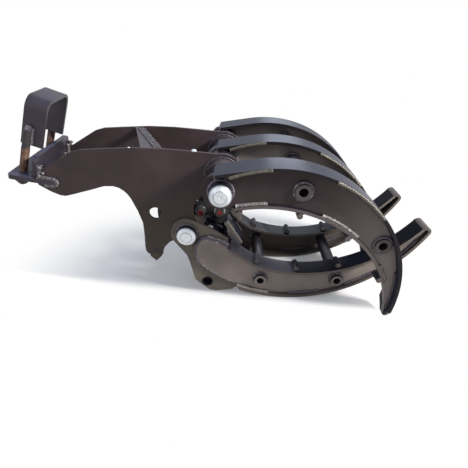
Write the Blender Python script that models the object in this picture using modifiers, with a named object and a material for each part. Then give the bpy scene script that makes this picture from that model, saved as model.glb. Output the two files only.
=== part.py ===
"""Log grapple with a three-tine upper jaw, a two-tine lower jaw and a clamp for a dipper arm.

Metres, +Z up. The jaws point along +X and the near side of the photo is -Y.
Side profiles are drawn in the XZ plane and extruded along Y.
"""
import math

import bmesh
import bpy
from mathutils import Matrix, Vector

for old in list(bpy.data.objects):
    bpy.data.objects.remove(old, do_unlink=True)

# Clearances between neighbouring pieces.
GAP = 0.0003
RUN_GAP = 0.0003
SIDE_PLAY = 0.0006

# Pivots of the two jaws and the base pin of the ram, as (x, z).
UPPER_PIVOT = (-0.0055, 0.3810)
LOWER_PIVOT = (-0.1065, 0.2070)
RAM_BASE = (-0.0480, 0.1750)
DIPPER_HOLE = (-0.1900, 0.2670)
DIPPER_HOLE_D = 0.0350

# Frame side plates: thickness, bosses and the free edges of the outline.
FRAME_INSIDE = 0.204
FRAME_T = 0.008
FRAME_TOP_EDGE = [(-0.468, 0.395), (-0.395, 0.437), (-0.390, 0.439), (-0.364, 0.446), (-0.305, 0.4485),
                  (-0.228, 0.451), (-0.152, 0.448), (-0.076, 0.441)]
FRAME_THROAT_EDGE = [(-0.066, 0.314), (-0.078, 0.303), (-0.084, 0.288), (-0.085, 0.262)]
FRAME_FOOT_FRONT = [(-0.157, 0.176), (-0.170, 0.163), (-0.177, 0.153)]
FRAME_FOOT_REAR = [(-0.224, 0.138), (-0.229, 0.146), (-0.230, 0.160)]
FRAME_BELLY_EDGE = [(-0.228, 0.195), (-0.228, 0.237), (-0.238, 0.274), (-0.252, 0.310), (-0.260, 0.324),
                    (-0.268, 0.333), (-0.280, 0.342), (-0.295, 0.347), (-0.319, 0.347), (-0.358, 0.336),
                    (-0.400, 0.325), (-0.426, 0.319), (-0.440, 0.321), (-0.461, 0.331)]
FRAME_HEEL = 0.008
FRAME_NOSE = 0.016
FRAME_UPPER_R = 0.054
FRAME_LOWER_R = 0.044
UPPER_BOSS_D = 0.088
UPPER_BOSS_REACH = 0.0400
UPPER_BOSS_INNER = 0.018
LOWER_BOSS_D = 0.060
LOWER_BOSS_INNER = 0.082
PIVOT_PIN_D = 0.040

# Clamp end: base plate, end plate, saddle, rods.
CLAMP_CORNER = (-0.5000, 0.3728)
BASE_TILT = 9.8
BASE_T = 0.012
BASE_LEFT = 0.065
BASE_RIGHT = 0.065
BASE_W = 0.236
BASE_CORNER_R = 0.012
END_T = 0.012
END_W = 0.226
END_H = 0.054
END_CORNER_R = 0.016
CLAMP_LEAN = 20.0
SADDLE_TOP = (-0.4607, 0.5623)
SADDLE_LONG = 0.055
SADDLE_H = 0.124
SADDLE_INSIDE = 0.130
SADDLE_T = 0.008
SADDLE_BEND_R = 0.030
ROD_FOOT = (-0.5390, 0.3740)
ROD_D = 0.020
ROD_ABOVE = 0.126
ROD_BELOW = 0.030
NUT_AF = 0.030
NUT_H = 0.010
TAPER_W = 0.036
TAPER_MIN = 0.0022

# Brace and stop bar of the frame.
BRACE_NEAR = (-0.212, -0.160)
BRACE_FAR = (-0.268, -0.244)
BRACE_TOP = 0.446
BRACE_T = 0.010
STOP_BAR = (-0.200, 0.133)
STOP_BAR_S = 0.024
STOP_BAR_LEN = 0.234

# Upper jaw. The outer arc passes above the pivot; the inner arc runs through three web widths.
UP_ROOT_RISE = 0.0357
UP_ROOT_BEARING = 115.3
UP_OUT_R = 0.341
UP_WEB_RING = 0.0066
UP_SLEEVE_CLEAR = 0.0018
UP_TAIL = 0.006
UP_MID_ANGLE = 55.0
UP_MID_W = 0.0960
UP_TIP_W_ANGLE = -11.7
UP_TIP_W = 0.0079
STRIP_T = 0.008
UP_STRIP_W = 0.078
UP_STRIP_Y = 0.208
UP_WEB_T = 0.012
UP_WEB_Y = 0.219
UP_INNER_W = 0.030
UP_INNER_START = 101.5
UP_INNER_START_MID = 93.0
UP_INNER_END = 21.7
UP_TIP_ANGLE = -16.9
UP_CORNER_ANGLE = -12.4
UP_CORNER_SIDE = 0.004
UP_CORNER_DEPTH = 0.002
UP_TUBE_D = 0.040
UP_TUBE_BORE = 0.0225
UP_TUBE_PROUD = 0.010
UP_TUBE_REAR_AT = (76.99, 0.479)
UP_TUBE_FRONT_AT = (25.14, 0.565)
UP_CLEATS = (99.5, 75.1, 51.8, 24.6)
RAM_EYE_ANGLE = 98.46
RAM_EYE_INSET = 0.0007
CLEAT_D = 0.015
CLEAT_LEN = 0.040
CLEAT_SINK = 0.0008
SLEEVE_D = 0.080
COLLAR_D = 0.057
COLLAR_LEN_UP = 0.0267
CAP_LEN = 0.010
CAP_D = 0.054
CAP_FACE_D = 0.031
CAP_RIM = 0.0025
CENTRE_MARK_D = 0.006
CENTRE_MARK_DEPTH = 0.0025
LOBE_R = 0.020

# Lower jaw. Its outer arc rests on the ground; the inner arc runs through three web heights.
LOW_LOWEST_X = 0.19325
LOW_OUT_R = 0.425
LOW_FLARE_X = 0.085
LOW_ROOT_W = 0.1036
LOW_MID_X = 0.2335
LOW_MID_W = 0.0871
LOW_TIP_W_ANGLE = -28.5
LOW_TIP_W = 0.02735
LOW_FLARE_RISE = (-0.0685, 0.0488)
NOSE_R = 0.014
LOW_STRIP_W = 0.060
LOW_STRIP_Y = 0.112
LOW_STRIP_START = 0.040
LOW_WEB_T = 0.010
LOW_WEB_TOP_EDGE = [(-0.071, 0.184), (-0.062, 0.192), (-0.050, 0.194), (-0.040, 0.192), (-0.012, 0.181)]
LOW_WEB_REAR_EDGE = [(0.017, 0.051), (-0.015, 0.069), (-0.044, 0.089), (-0.062, 0.107), (-0.073, 0.123),
                     (-0.080, 0.143), (-0.080, 0.165)]
LOW_HINGE_T = 0.008
LOW_HINGE_R = 0.045
LOW_HINGE_FRONT_EDGE = [(-0.055, 0.2315), (-0.023, 0.2135), (0.0095, 0.190), (0.010, 0.188)]
LOW_HINGE_FOOT_EDGE = [(0.010, 0.060), (0.036, 0.050), (0.0385, 0.0295), (0.020, 0.014), (-0.030, 0.008),
                       (-0.050, 0.013), (-0.083, 0.043)]
LOW_HINGE_REAR_EDGE = [(-0.089, 0.050), (-0.092, 0.059), (-0.097, 0.083), (-0.104, 0.115),
                       (-0.111, 0.137)]
EAR_HOLE = (-0.054, 0.043)
EAR_HOLE_D = 0.034
LOW_TUBE_D = 0.035
LOW_TUBE_BORE = 0.021
LOW_TUBE_PROUD = 0.0161
LOW_TUBE_REAR_AT = (0.103, 0.473)
LOW_TUBE_FRONT_AT = (0.328, 0.500)
LOW_CLEATS = (0.091, 0.207, 0.331)
COLLAR_LEN_LOW = 0.015
LOW_CAP_LEN = 0.009
THROAT_TOP = (0.006, 0.186)
THROAT_FOOT = (0.050, 0.104)
THROAT_T = 0.010

# Ram between the jaws; distances run from the base pin along its axis.
RAM_BARREL_D = 0.064
RAM_BORE = 0.050
RAM_ROD_D = 0.030
BARREL_START = 0.030
BARREL_FLOOR = 0.042
PISTON_START = 0.0445
PISTON_LEN = 0.012
ROD_SHOW = 0.005
GLAND_DEPTH = 0.014
GLAND_FLANGE = 0.006
RAM_EYE_W = 0.033
RAM_EYE_R = 0.022
RAM_PIN_D = 0.020
FORK_CHEEK = 0.012
FORK_BACK = 0.034
FORK_BACK_W = 0.026
FORK_FLOOR = 0.006
EYE_PLAY = 0.0015
CROSS_PIN_PROUD = 0.004
CUT_PAST = 0.010
LUG_T = 0.010
LUG_R = 0.024
VALVE_X = (-0.092, 0.008)
VALVE_Z = (0.234, 0.268)
VALVE_T = 0.024
PORT_PITCH = 0.055
PORT_RIGHT = -0.015
PORT_D = 0.032
PORT_LEN = 0.0077
PLUG_D = 0.026
PLUG_LEN = 0.0135

SEG = 48


# Helpers for outlines, slabs and turned pieces.
def material(name, colour, roughness, metallic):
    mat = bpy.data.materials.new(name)
    mat.use_nodes = True
    shader = mat.node_tree.nodes["Principled BSDF"]
    shader.inputs["Base Color"].default_value = (*colour, 1.0)
    shader.inputs["Roughness"].default_value = roughness
    shader.inputs["Metallic"].default_value = metallic
    mat.diffuse_color = (*colour, 1.0)
    return mat


def collection(name):
    found = bpy.data.collections.new(name)
    bpy.context.scene.collection.children.link(found)
    return found


PARTS = collection("log_grapple")
CUTTERS = collection("cutters")


def polar(centre, radius, degrees):
    turn = math.radians(degrees)
    return (centre[0] + radius * math.cos(turn), centre[1] + radius * math.sin(turn))


def arc(centre, radius, start, end, steps):
    return [polar(centre, radius, start + (end - start) * i / steps) for i in range(steps + 1)]


def circle(centre, radius, count=SEG):
    return [polar(centre, radius, 360.0 * i / count) for i in range(count)]


def bearing(centre, point):
    return math.degrees(math.atan2(point[1] - centre[1], point[0] - centre[0]))


def distance(a, b):
    return math.hypot(b[0] - a[0], b[1] - a[1])


def crossing(c0, r0, c1, r1, side):
    """Point where two circles cross, left (+1) or right (-1) of the line c0 to c1."""
    d = distance(c0, c1)
    along = (d * d + r0 * r0 - r1 * r1) / (2 * d)
    across = math.sqrt(max(r0 * r0 - along * along, 0.0)) * side
    ux, uz = (c1[0] - c0[0]) / d, (c1[1] - c0[1]) / d
    return (c0[0] + along * ux - across * uz, c0[1] + along * uz + across * ux)


def through(a, b, c):
    """Centre and radius of the circle through three points."""
    twice = 2 * (a[0] * (b[1] - c[1]) + b[0] * (c[1] - a[1]) + c[0] * (a[1] - b[1]))
    square = [p[0] ** 2 + p[1] ** 2 for p in (a, b, c)]
    x = (square[0] * (b[1] - c[1]) + square[1] * (c[1] - a[1]) + square[2] * (a[1] - b[1])) / twice
    z = (square[0] * (c[0] - b[0]) + square[1] * (a[0] - c[0]) + square[2] * (b[0] - a[0])) / twice
    return (x, z), distance((x, z), a)


def reach_to(start, degrees, centre, radius):
    """Distance from start, along a bearing, to the far side of a circle."""
    unit = polar((0.0, 0.0), 1.0, degrees)
    off = (start[0] - centre[0], start[1] - centre[1])
    along = off[0] * unit[0] + off[1] * unit[1]
    return -along + math.sqrt(along ** 2 - (off[0] ** 2 + off[1] ** 2 - radius ** 2))


def below_arc(centre, radius, x):
    """Height of the underside of a circle at x."""
    return centre[1] - math.sqrt(radius * radius - (x - centre[0]) ** 2)


def tilted(origin, lean):
    """Axes in the XZ plane: along (right and down by lean degrees) and up (square to it)."""
    turn = math.radians(lean)
    along = (math.cos(turn), -math.sin(turn))
    up = (math.sin(turn), math.cos(turn))

    def at(u, w):
        return (origin[0] + u * along[0] + w * up[0], origin[1] + u * along[1] + w * up[1])

    return along, up, at


def finish(name, mesh, mat, origin, home):
    work = bmesh.new()
    work.from_mesh(mesh)
    bmesh.ops.remove_doubles(work, verts=work.verts, dist=1e-6)
    bmesh.ops.recalc_face_normals(work, faces=work.faces)
    work.to_mesh(mesh)
    work.free()
    mesh.transform(Matrix.Translation(-Vector(origin)))
    mesh.name = name
    mesh.shade_smooth()
    mesh.set_sharp_from_angle(angle=math.radians(31))
    obj = bpy.data.objects.new(name, mesh)
    obj.location = origin
    home.objects.link(obj)
    if mat is None:
        obj.hide_render = True
        obj.display_type = "WIRE"
    else:
        mesh.materials.clear()
        mesh.materials.append(mat)
    return obj


def evaluated(holder):
    bpy.context.scene.collection.objects.link(holder)
    bpy.context.view_layer.update()
    graph = bpy.context.evaluated_depsgraph_get()
    mesh = bpy.data.meshes.new_from_object(holder.evaluated_get(graph))
    data = holder.data
    bpy.data.objects.remove(holder, do_unlink=True)
    if isinstance(data, bpy.types.Curve):
        bpy.data.curves.remove(data)
    else:
        bpy.data.meshes.remove(data)
    return mesh


def slab_mesh(loops, depth, place):
    """Closed slab: flat outlines with holes, extruded both ways, then placed."""
    curve = bpy.data.curves.new("outline", "CURVE")
    curve.dimensions = "2D"
    curve.fill_mode = "BOTH"
    curve.extrude = depth / 2
    for loop in loops:
        spline = curve.splines.new("POLY")
        spline.points.add(len(loop) - 1)
        for point, (u, v) in zip(spline.points, loop):
            point.co = (u, v, 0.0, 1.0)
        spline.use_cyclic_u = True
    mesh = evaluated(bpy.data.objects.new("outline", curve))
    mesh.transform(place)
    return mesh


def axes(x_axis, y_axis, origin):
    x_vec = Vector(x_axis).normalized()
    y_vec = Vector(y_axis).normalized()
    z_vec = x_vec.cross(y_vec)
    place = Matrix((x_vec, y_vec, z_vec)).transposed().to_4x4()
    place.translation = Vector(origin)
    return place


def side_place(y0, y1):
    return axes((1, 0, 0), (0, 0, 1), (0, (y0 + y1) / 2, 0))


def slab(name, loops, y0, y1, mat, origin, home=None):
    """Side profile in XZ, extruded from y0 to y1."""
    mesh = slab_mesh(loops, abs(y1 - y0), side_place(y0, y1))
    return finish(name, mesh, mat, origin, home or PARTS)


def merged(meshes):
    whole = bmesh.new()
    for mesh in meshes:
        whole.from_mesh(mesh)
        bpy.data.meshes.remove(mesh)
    mesh = bpy.data.meshes.new("group")
    whole.to_mesh(mesh)
    whole.free()
    return mesh


def operand(name, pieces):
    """Hidden group of slabs for a Boolean; each piece is (loops, y0, y1)."""
    meshes = [slab_mesh(loops, abs(y1 - y0), side_place(y0, y1)) for loops, y0, y1 in pieces]
    return finish(name, merged(meshes), None, (0.0, 0.0, 0.0), CUTTERS)


def turned_mesh(profile, foot, axis, steps=SEG):
    """Profile of (radius, distance) from top to bottom, turned about an axis through foot."""
    mesh = bpy.data.meshes.new("profile")
    verts = [(r, 0.0, s) for r, s in profile]
    edges = [(i, i + 1) for i in range(len(verts) - 1)]
    if profile[0][0] > 0 and profile[-1][0] > 0:
        edges.append((len(verts) - 1, 0))
    mesh.from_pydata(verts, edges, [])
    holder = bpy.data.objects.new("profile", mesh)
    screw = holder.modifiers.new("turn", "SCREW")
    screw.axis = "Z"
    screw.angle = math.tau
    screw.steps = steps
    screw.render_steps = steps
    screw.use_merge_vertices = True
    screw.merge_threshold = 0.00001
    result = evaluated(holder)
    place = Vector(axis).to_track_quat("Z", "Y").to_matrix().to_4x4()
    place.translation = Vector(foot)
    result.transform(place)
    return result


def turned(name, profile, foot, axis, mat, origin, home=None, steps=SEG):
    return finish(name, turned_mesh(profile, foot, axis, steps), mat, origin, home or PARTS)


def combine(target, tool, operation):
    mod = target.modifiers.new(operation.lower(), "BOOLEAN")
    mod.operation = operation
    mod.solver = "EXACT"
    mod.object = tool


def sides(y):
    """The near (right) and far (left) side of the machine."""
    return (("right", -1, -y), ("left", 1, y))


def spread(centre, width):
    return centre - width / 2, centre + width / 2


# Arcs of the two jaws, worked out from the web widths.
UP_OUT_C = polar(polar(UPPER_PIVOT, UP_ROOT_RISE, UP_ROOT_BEARING), UP_OUT_R, UP_ROOT_BEARING - 180)
web_out_r = UP_OUT_R - STRIP_T - GAP
UP_IN_C, UP_IN_R = through(
    polar(UPPER_PIVOT, SLEEVE_D / 2 + UP_WEB_RING + STRIP_T + GAP, UP_ROOT_BEARING - 180),
    polar(UP_OUT_C, web_out_r - UP_MID_W, UP_MID_ANGLE),
    polar(UP_OUT_C, web_out_r - UP_TIP_W, UP_TIP_W_ANGLE))
web_in_r = UP_IN_R + STRIP_T + GAP
RAM_EYE = polar(UP_IN_C, UP_IN_R + RAM_EYE_INSET, RAM_EYE_ANGLE)
LOW_OUT_C = (LOW_LOWEST_X, LOW_OUT_R)
LOW_IN_C, LOW_IN_R = through(
    (LOW_FLARE_X, below_arc(LOW_OUT_C, LOW_OUT_R, LOW_FLARE_X) + LOW_ROOT_W),
    (LOW_MID_X, below_arc(LOW_OUT_C, LOW_OUT_R, LOW_MID_X) + LOW_MID_W),
    polar(LOW_OUT_C, LOW_OUT_R - LOW_TIP_W, LOW_TIP_W_ANGLE))


def across_upper(angle, share):
    """Point of the upper web at a bearing, a share of the way from its inner to its outer edge."""
    inner = reach_to(UP_OUT_C, angle, UP_IN_C, web_in_r)
    return polar(UP_OUT_C, inner + share * (web_out_r - inner), angle)


def across_lower(x, share):
    """Point of the lower web at x, a share of the way from its upper to its lower edge."""
    high = below_arc(LOW_IN_C, LOW_IN_R + STRIP_T, x)
    low = below_arc(LOW_OUT_C, LOW_OUT_R - STRIP_T, x)
    return (x, high + share * (low - high))


UP_TUBE_REAR = across_upper(*UP_TUBE_REAR_AT)
UP_TUBE_FRONT = across_upper(*UP_TUBE_FRONT_AT)
LOW_TUBE_REAR = across_lower(*LOW_TUBE_REAR_AT)
LOW_TUBE_FRONT = across_lower(*LOW_TUBE_FRONT_AT)

HOME = (0.0, 0.0, 0.0)
UP_HOME = (UPPER_PIVOT[0], 0.0, UPPER_PIVOT[1])
LOW_HOME = (LOWER_PIVOT[0], 0.0, LOWER_PIVOT[1])
BARREL_HOME = (RAM_BASE[0], 0.0, RAM_BASE[1])
ROD_HOME = (RAM_EYE[0], 0.0, RAM_EYE[1])
CLAMP_HOME = (ROD_FOOT[0], 0.0, ROD_FOOT[1])

PLATE_IN = FRAME_INSIDE / 2
PLATE_OUT = PLATE_IN + FRAME_T
PIN_HOLE_R = PIVOT_PIN_D / 2 + RUN_GAP

PAINT = (0.045, 0.036, 0.038)
PAINT_WEB = (0.070, 0.060, 0.060)
PAINT_STRIP = (0.030, 0.030, 0.046)
ZINC = (0.62, 0.61, 0.60)

# Frame: two side plates with their bosses, brace and stop bar.
base_along, base_up, on_base = tilted(CLAMP_CORNER, BASE_TILT)
stop_half = STOP_BAR_S / math.sqrt(2)
notch = stop_half + GAP * math.sqrt(2)
lip_left = END_T + GAP
frame_outline = [on_base(lip_left, GAP), on_base(lip_left, FRAME_NOSE)] + FRAME_TOP_EDGE
frame_outline += arc(UPPER_PIVOT, FRAME_UPPER_R, 98, -128, 30)
frame_outline += FRAME_THROAT_EDGE
frame_outline += arc(LOWER_PIVOT, FRAME_LOWER_R, 56, -146, 26)
frame_outline += FRAME_FOOT_FRONT
frame_outline += [
    (STOP_BAR[0] + notch, STOP_BAR[1]),
    (STOP_BAR[0], STOP_BAR[1] + notch),
    (STOP_BAR[0] - notch, STOP_BAR[1]),
]
frame_outline += FRAME_FOOT_REAR
frame_outline += FRAME_BELLY_EDGE
frame_outline += [
    on_base(lip_left, -BASE_T - FRAME_HEEL),
    on_base(lip_left, -BASE_T - GAP),
    on_base(BASE_RIGHT + GAP, -BASE_T - GAP),
    on_base(BASE_RIGHT + GAP, GAP),
]
frame_loops = [
    frame_outline,
    circle(UPPER_PIVOT, UPPER_BOSS_D / 2 + GAP),
    circle(LOWER_PIVOT, LOWER_BOSS_D / 2 + GAP),
    circle(DIPPER_HOLE, DIPPER_HOLE_D / 2),
]
for side, sign, y in sides(PLATE_IN):
    slab("frame_plate_" + side, frame_loops, y, y + sign * FRAME_T,
         material("frame_plate_" + side, PAINT, 0.42, 0.0), HOME)
    slab("frame_upper_boss_" + side,
         [circle(UPPER_PIVOT, UPPER_BOSS_D / 2), circle(UPPER_PIVOT, PIN_HOLE_R)],
         sign * (PLATE_IN - UPPER_BOSS_INNER), sign * (PLATE_OUT + UPPER_BOSS_REACH),
         material("frame_upper_boss_" + side, PAINT, 0.45, 0.0), HOME)
    slab("frame_lower_boss_" + side,
         [circle(LOWER_PIVOT, LOWER_BOSS_D / 2), circle(LOWER_PIVOT, PIN_HOLE_R)],
         sign * LOWER_BOSS_INNER, sign * PLATE_OUT,
         material("frame_lower_boss_" + side, PAINT, 0.45, 0.0), HOME)

BOSS_IN = PLATE_IN - UPPER_BOSS_INNER
BOSS_OUT = PLATE_OUT + UPPER_BOSS_REACH

brace_half = PLATE_IN - GAP
brace_plan = [
    (BRACE_NEAR[0], -brace_half),
    (BRACE_NEAR[1], -brace_half),
    (BRACE_FAR[1], brace_half),
    (BRACE_FAR[0], brace_half),
]
finish("frame_cross_brace",
       slab_mesh([brace_plan], BRACE_T,
                 axes((1, 0, 0), (0, 1, 0), (0, 0, BRACE_TOP - BRACE_T / 2))),
       material("frame_cross_brace", (0.10, 0.10, 0.115), 0.35, 0.0), HOME, PARTS)

stop_loop = [
    (STOP_BAR[0] + stop_half, STOP_BAR[1]),
    (STOP_BAR[0], STOP_BAR[1] + stop_half),
    (STOP_BAR[0] - stop_half, STOP_BAR[1]),
    (STOP_BAR[0], STOP_BAR[1] - stop_half),
]
slab("lower_stop_bar", [stop_loop], -STOP_BAR_LEN / 2, STOP_BAR_LEN / 2,
     material("lower_stop_bar", (0.09, 0.085, 0.09), 0.4, 0.0), HOME)

# Clamp end: base plate, end plate, rods and saddle.
rod_up = tilted(ROD_FOOT, CLAMP_LEAN)[1]
ROD_AXIS = (rod_up[0], 0.0, rod_up[1])
ROD_Y = SADDLE_INSIDE / 2 + SADDLE_T + GAP + ROD_D / 2
plan_right = BASE_RIGHT
plan_half = BASE_W / 2
base_plan = arc((-BASE_LEFT + BASE_CORNER_R, plan_half - BASE_CORNER_R), BASE_CORNER_R, 90, 180, 6)
base_plan += arc((-BASE_LEFT + BASE_CORNER_R, -plan_half + BASE_CORNER_R), BASE_CORNER_R, 180, 270, 6)
base_plan += arc((plan_right - BASE_CORNER_R, -plan_half + BASE_CORNER_R), BASE_CORNER_R, 270, 360, 6)
base_plan += arc((plan_right - BASE_CORNER_R, plan_half - BASE_CORNER_R), BASE_CORNER_R, 0, 90, 6)
mid = on_base(0.0, -BASE_T / 2)
base_place = axes((base_along[0], 0, base_along[1]), (0, 1, 0), (mid[0], 0, mid[1]))
base_plate = finish("clamp_base_plate", slab_mesh([base_plan], BASE_T, base_place),
                    material("clamp_base_plate", PAINT_WEB, 0.42, 0.0), HOME, PARTS)

half = END_W / 2
end_loop = [(-half, GAP), (half, GAP)]
end_loop += arc((half - END_CORNER_R, END_H - END_CORNER_R), END_CORNER_R, 0, 90, 8)
end_loop += arc((-half + END_CORNER_R, END_H - END_CORNER_R), END_CORNER_R, 90, 180, 8)
foot = on_base(END_T / 2, 0.0)
finish("clamp_end_plate",
       slab_mesh([end_loop], END_T,
                 axes((0, 1, 0), (base_up[0], 0, base_up[1]), (foot[0], 0, foot[1]))),
       material("clamp_end_plate", PAINT, 0.42, 0.0), HOME, PARTS)

for side, sign, y in sides(ROD_Y):
    foot = Vector((ROD_FOOT[0], y, ROD_FOOT[1]))
    axis = Vector(ROD_AXIS)
    hole = turned("cut_rod_hole_" + side,
                  [(0.0, ROD_ABOVE), (ROD_D / 2 + GAP, ROD_ABOVE), (ROD_D / 2 + GAP, -2 * ROD_BELOW),
                   (0.0, -2 * ROD_BELOW)],
                  foot, axis, None, HOME, CUTTERS)
    combine(base_plate, hole, "DIFFERENCE")
    turned("clamp_rod_" + side,
           [(0.0, ROD_ABOVE), (ROD_D / 2 - 0.002, ROD_ABOVE), (ROD_D / 2, ROD_ABOVE - 0.002),
            (ROD_D / 2, -ROD_BELOW + 0.002), (ROD_D / 2 - 0.002, -ROD_BELOW), (0.0, -ROD_BELOW)],
           foot, axis, material("clamp_rod_" + side, (0.16, 0.085, 0.065), 0.7, 0.4), CLAMP_HOME,
           steps=32)

# Taper washers fill the wedge between the leaning base plate and the nuts.
lean = math.radians(CLAMP_LEAN - BASE_TILT)
entry = (ROD_FOOT[0] - CLAMP_CORNER[0]) * base_along[0] + (ROD_FOOT[1] - CLAMP_CORNER[1]) * base_along[1]
rod_base = on_base(entry, -BASE_T - GAP)
wedge_axis, wedge_up, on_wedge = tilted(rod_base, BASE_TILT)
drop = (on_base(entry, 0.0)[0] - on_base(entry, -BASE_T - GAP)[0])
shift = -(BASE_T + GAP) * math.tan(lean)
wedge_mid = TAPER_MIN + TAPER_W / 2 * math.tan(lean)
wedge_loop = [
    on_wedge(shift - TAPER_W / 2, 0.0),
    on_wedge(shift + TAPER_W / 2, 0.0),
    on_wedge(shift + TAPER_W / 2, -(wedge_mid + TAPER_W / 2 * math.tan(lean))),
    on_wedge(shift - TAPER_W / 2, -(wedge_mid - TAPER_W / 2 * math.tan(lean))),
]
for side, sign, y in sides(ROD_Y):
    washer = slab("clamp_taper_washer_" + side, [wedge_loop], *spread(y, TAPER_W),
                  material("clamp_taper_washer_" + side, ZINC, 0.45, 0.9), HOME)
    combine(washer, CUTTERS.objects["cut_rod_hole_" + side], "DIFFERENCE")

nut_top = on_wedge(shift, -wedge_mid)
nut_depth = (nut_top[0] - ROD_FOOT[0]) * rod_up[0] + (nut_top[1] - ROD_FOOT[1]) * rod_up[1] - GAP
nut_mid = nut_depth - NUT_H / 2
hexagon = [polar((0.0, 0.0), NUT_AF / 2 / math.cos(math.radians(30)), 60 * i) for i in range(6)]
for side, sign, y in sides(ROD_Y):
    place = axes((0, 1, 0), Vector(ROD_AXIS).cross(Vector((0, 1, 0))),
                 (ROD_FOOT[0] + nut_mid * rod_up[0], y, ROD_FOOT[1] + nut_mid * rod_up[1]))
    finish("clamp_nut_" + side,
           slab_mesh([hexagon, circle((0.0, 0.0), ROD_D / 2 + RUN_GAP, 32)], NUT_H, place),
           material("clamp_nut_" + side, ZINC, 0.4, 0.9), HOME, PARTS)

saddle_along, saddle_up, on_saddle = tilted(SADDLE_TOP, CLAMP_LEAN)
outer = SADDLE_INSIDE / 2 + SADDLE_T
bend_in = SADDLE_BEND_R - SADDLE_T
saddle_loop = [(-outer, -SADDLE_H)]
saddle_loop += arc((-outer + SADDLE_BEND_R, -SADDLE_BEND_R), SADDLE_BEND_R, 180, 90, 8)
saddle_loop += arc((outer - SADDLE_BEND_R, -SADDLE_BEND_R), SADDLE_BEND_R, 90, 0, 8)
saddle_loop += [(outer, -SADDLE_H), (outer - SADDLE_T, -SADDLE_H)]
saddle_loop += arc((outer - SADDLE_BEND_R, -SADDLE_BEND_R), bend_in, 0, 90, 8)
saddle_loop += arc((-outer + SADDLE_BEND_R, -SADDLE_BEND_R), bend_in, 90, 180, 8)
saddle_loop += [(-outer + SADDLE_T, -SADDLE_H)]
finish("clamp_saddle",
       slab_mesh([saddle_loop], SADDLE_LONG,
                 axes((0, 1, 0), (saddle_up[0], 0, saddle_up[1]), (SADDLE_TOP[0], 0, SADDLE_TOP[1]))),
       material("clamp_saddle", PAINT, 0.4, 0.0), CLAMP_HOME, PARTS)

# Upper jaw: three tines on one hinge pin.
rear_r = distance(UP_IN_C, UPPER_PIVOT) - web_in_r
pivot_bearing = bearing(UP_IN_C, UPPER_PIVOT)
tail_r = SLEEVE_D / 2 + UP_SLEEVE_CLEAR
tail_swing = math.acos((UP_OUT_R - STRIP_T - tail_r) / distance(UP_OUT_C, UPPER_PIVOT))
tail_turn = bearing(UP_OUT_C, UPPER_PIVOT) - math.degrees(tail_swing)


def on_tail(radius, past):
    """Point over the pivot, a distance rearward along the strip's straight tail."""
    return polar(polar(UPPER_PIVOT, radius, tail_turn), past, tail_turn + 90)


meet = on_tail(tail_r - GAP, math.sqrt(rear_r ** 2 - (tail_r - GAP) ** 2))
inner_end = UP_INNER_END
step_out = math.degrees(GAP / UP_IN_R)
tip_in = bearing(UP_IN_C, crossing(UP_IN_C, UP_IN_R, UP_OUT_C, web_out_r - UP_TIP_W, -1))


def upper_web(lobe):
    loop = [meet] + arc(UP_OUT_C, web_out_r, tail_turn, UP_TIP_ANGLE, 40)
    loop += arc(UP_IN_C, UP_IN_R, tip_in, inner_end - step_out, 8)
    if lobe:
        first = crossing(UP_IN_C, web_in_r, RAM_EYE, LOBE_R, -1)
        second = crossing(UP_IN_C, web_in_r, RAM_EYE, LOBE_R, 1)
        last = bearing(RAM_EYE, second)
        loop += arc(UP_IN_C, web_in_r, inner_end - step_out, bearing(UP_IN_C, first), 30)[:-1]
        loop += arc(RAM_EYE, LOBE_R, bearing(RAM_EYE, first), last - 360 * (last > 0), 18)
        loop += arc(UP_IN_C, web_in_r, bearing(UP_IN_C, second), pivot_bearing, 2)[1:]
    else:
        loop += arc(UP_IN_C, web_in_r, inner_end - step_out, pivot_bearing, 34)
    loop += arc(UPPER_PIVOT, rear_r, pivot_bearing - 180, bearing(UPPER_PIVOT, meet) - 360, 24)[1:-1]
    return loop


def upper_holes(pin_hole):
    tube_hole = UP_TUBE_D / 2 + GAP
    return [circle(UPPER_PIVOT, pin_hole), circle(UP_TUBE_REAR, tube_hole),
            circle(UP_TUBE_FRONT, tube_hole)]


def up_strip_loop(inner_c, inner_r, start, end, steps):
    loop = arc(inner_c, inner_r + STRIP_T, start, end, steps)
    return loop + arc(inner_c, inner_r, end, start, steps)


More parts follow.
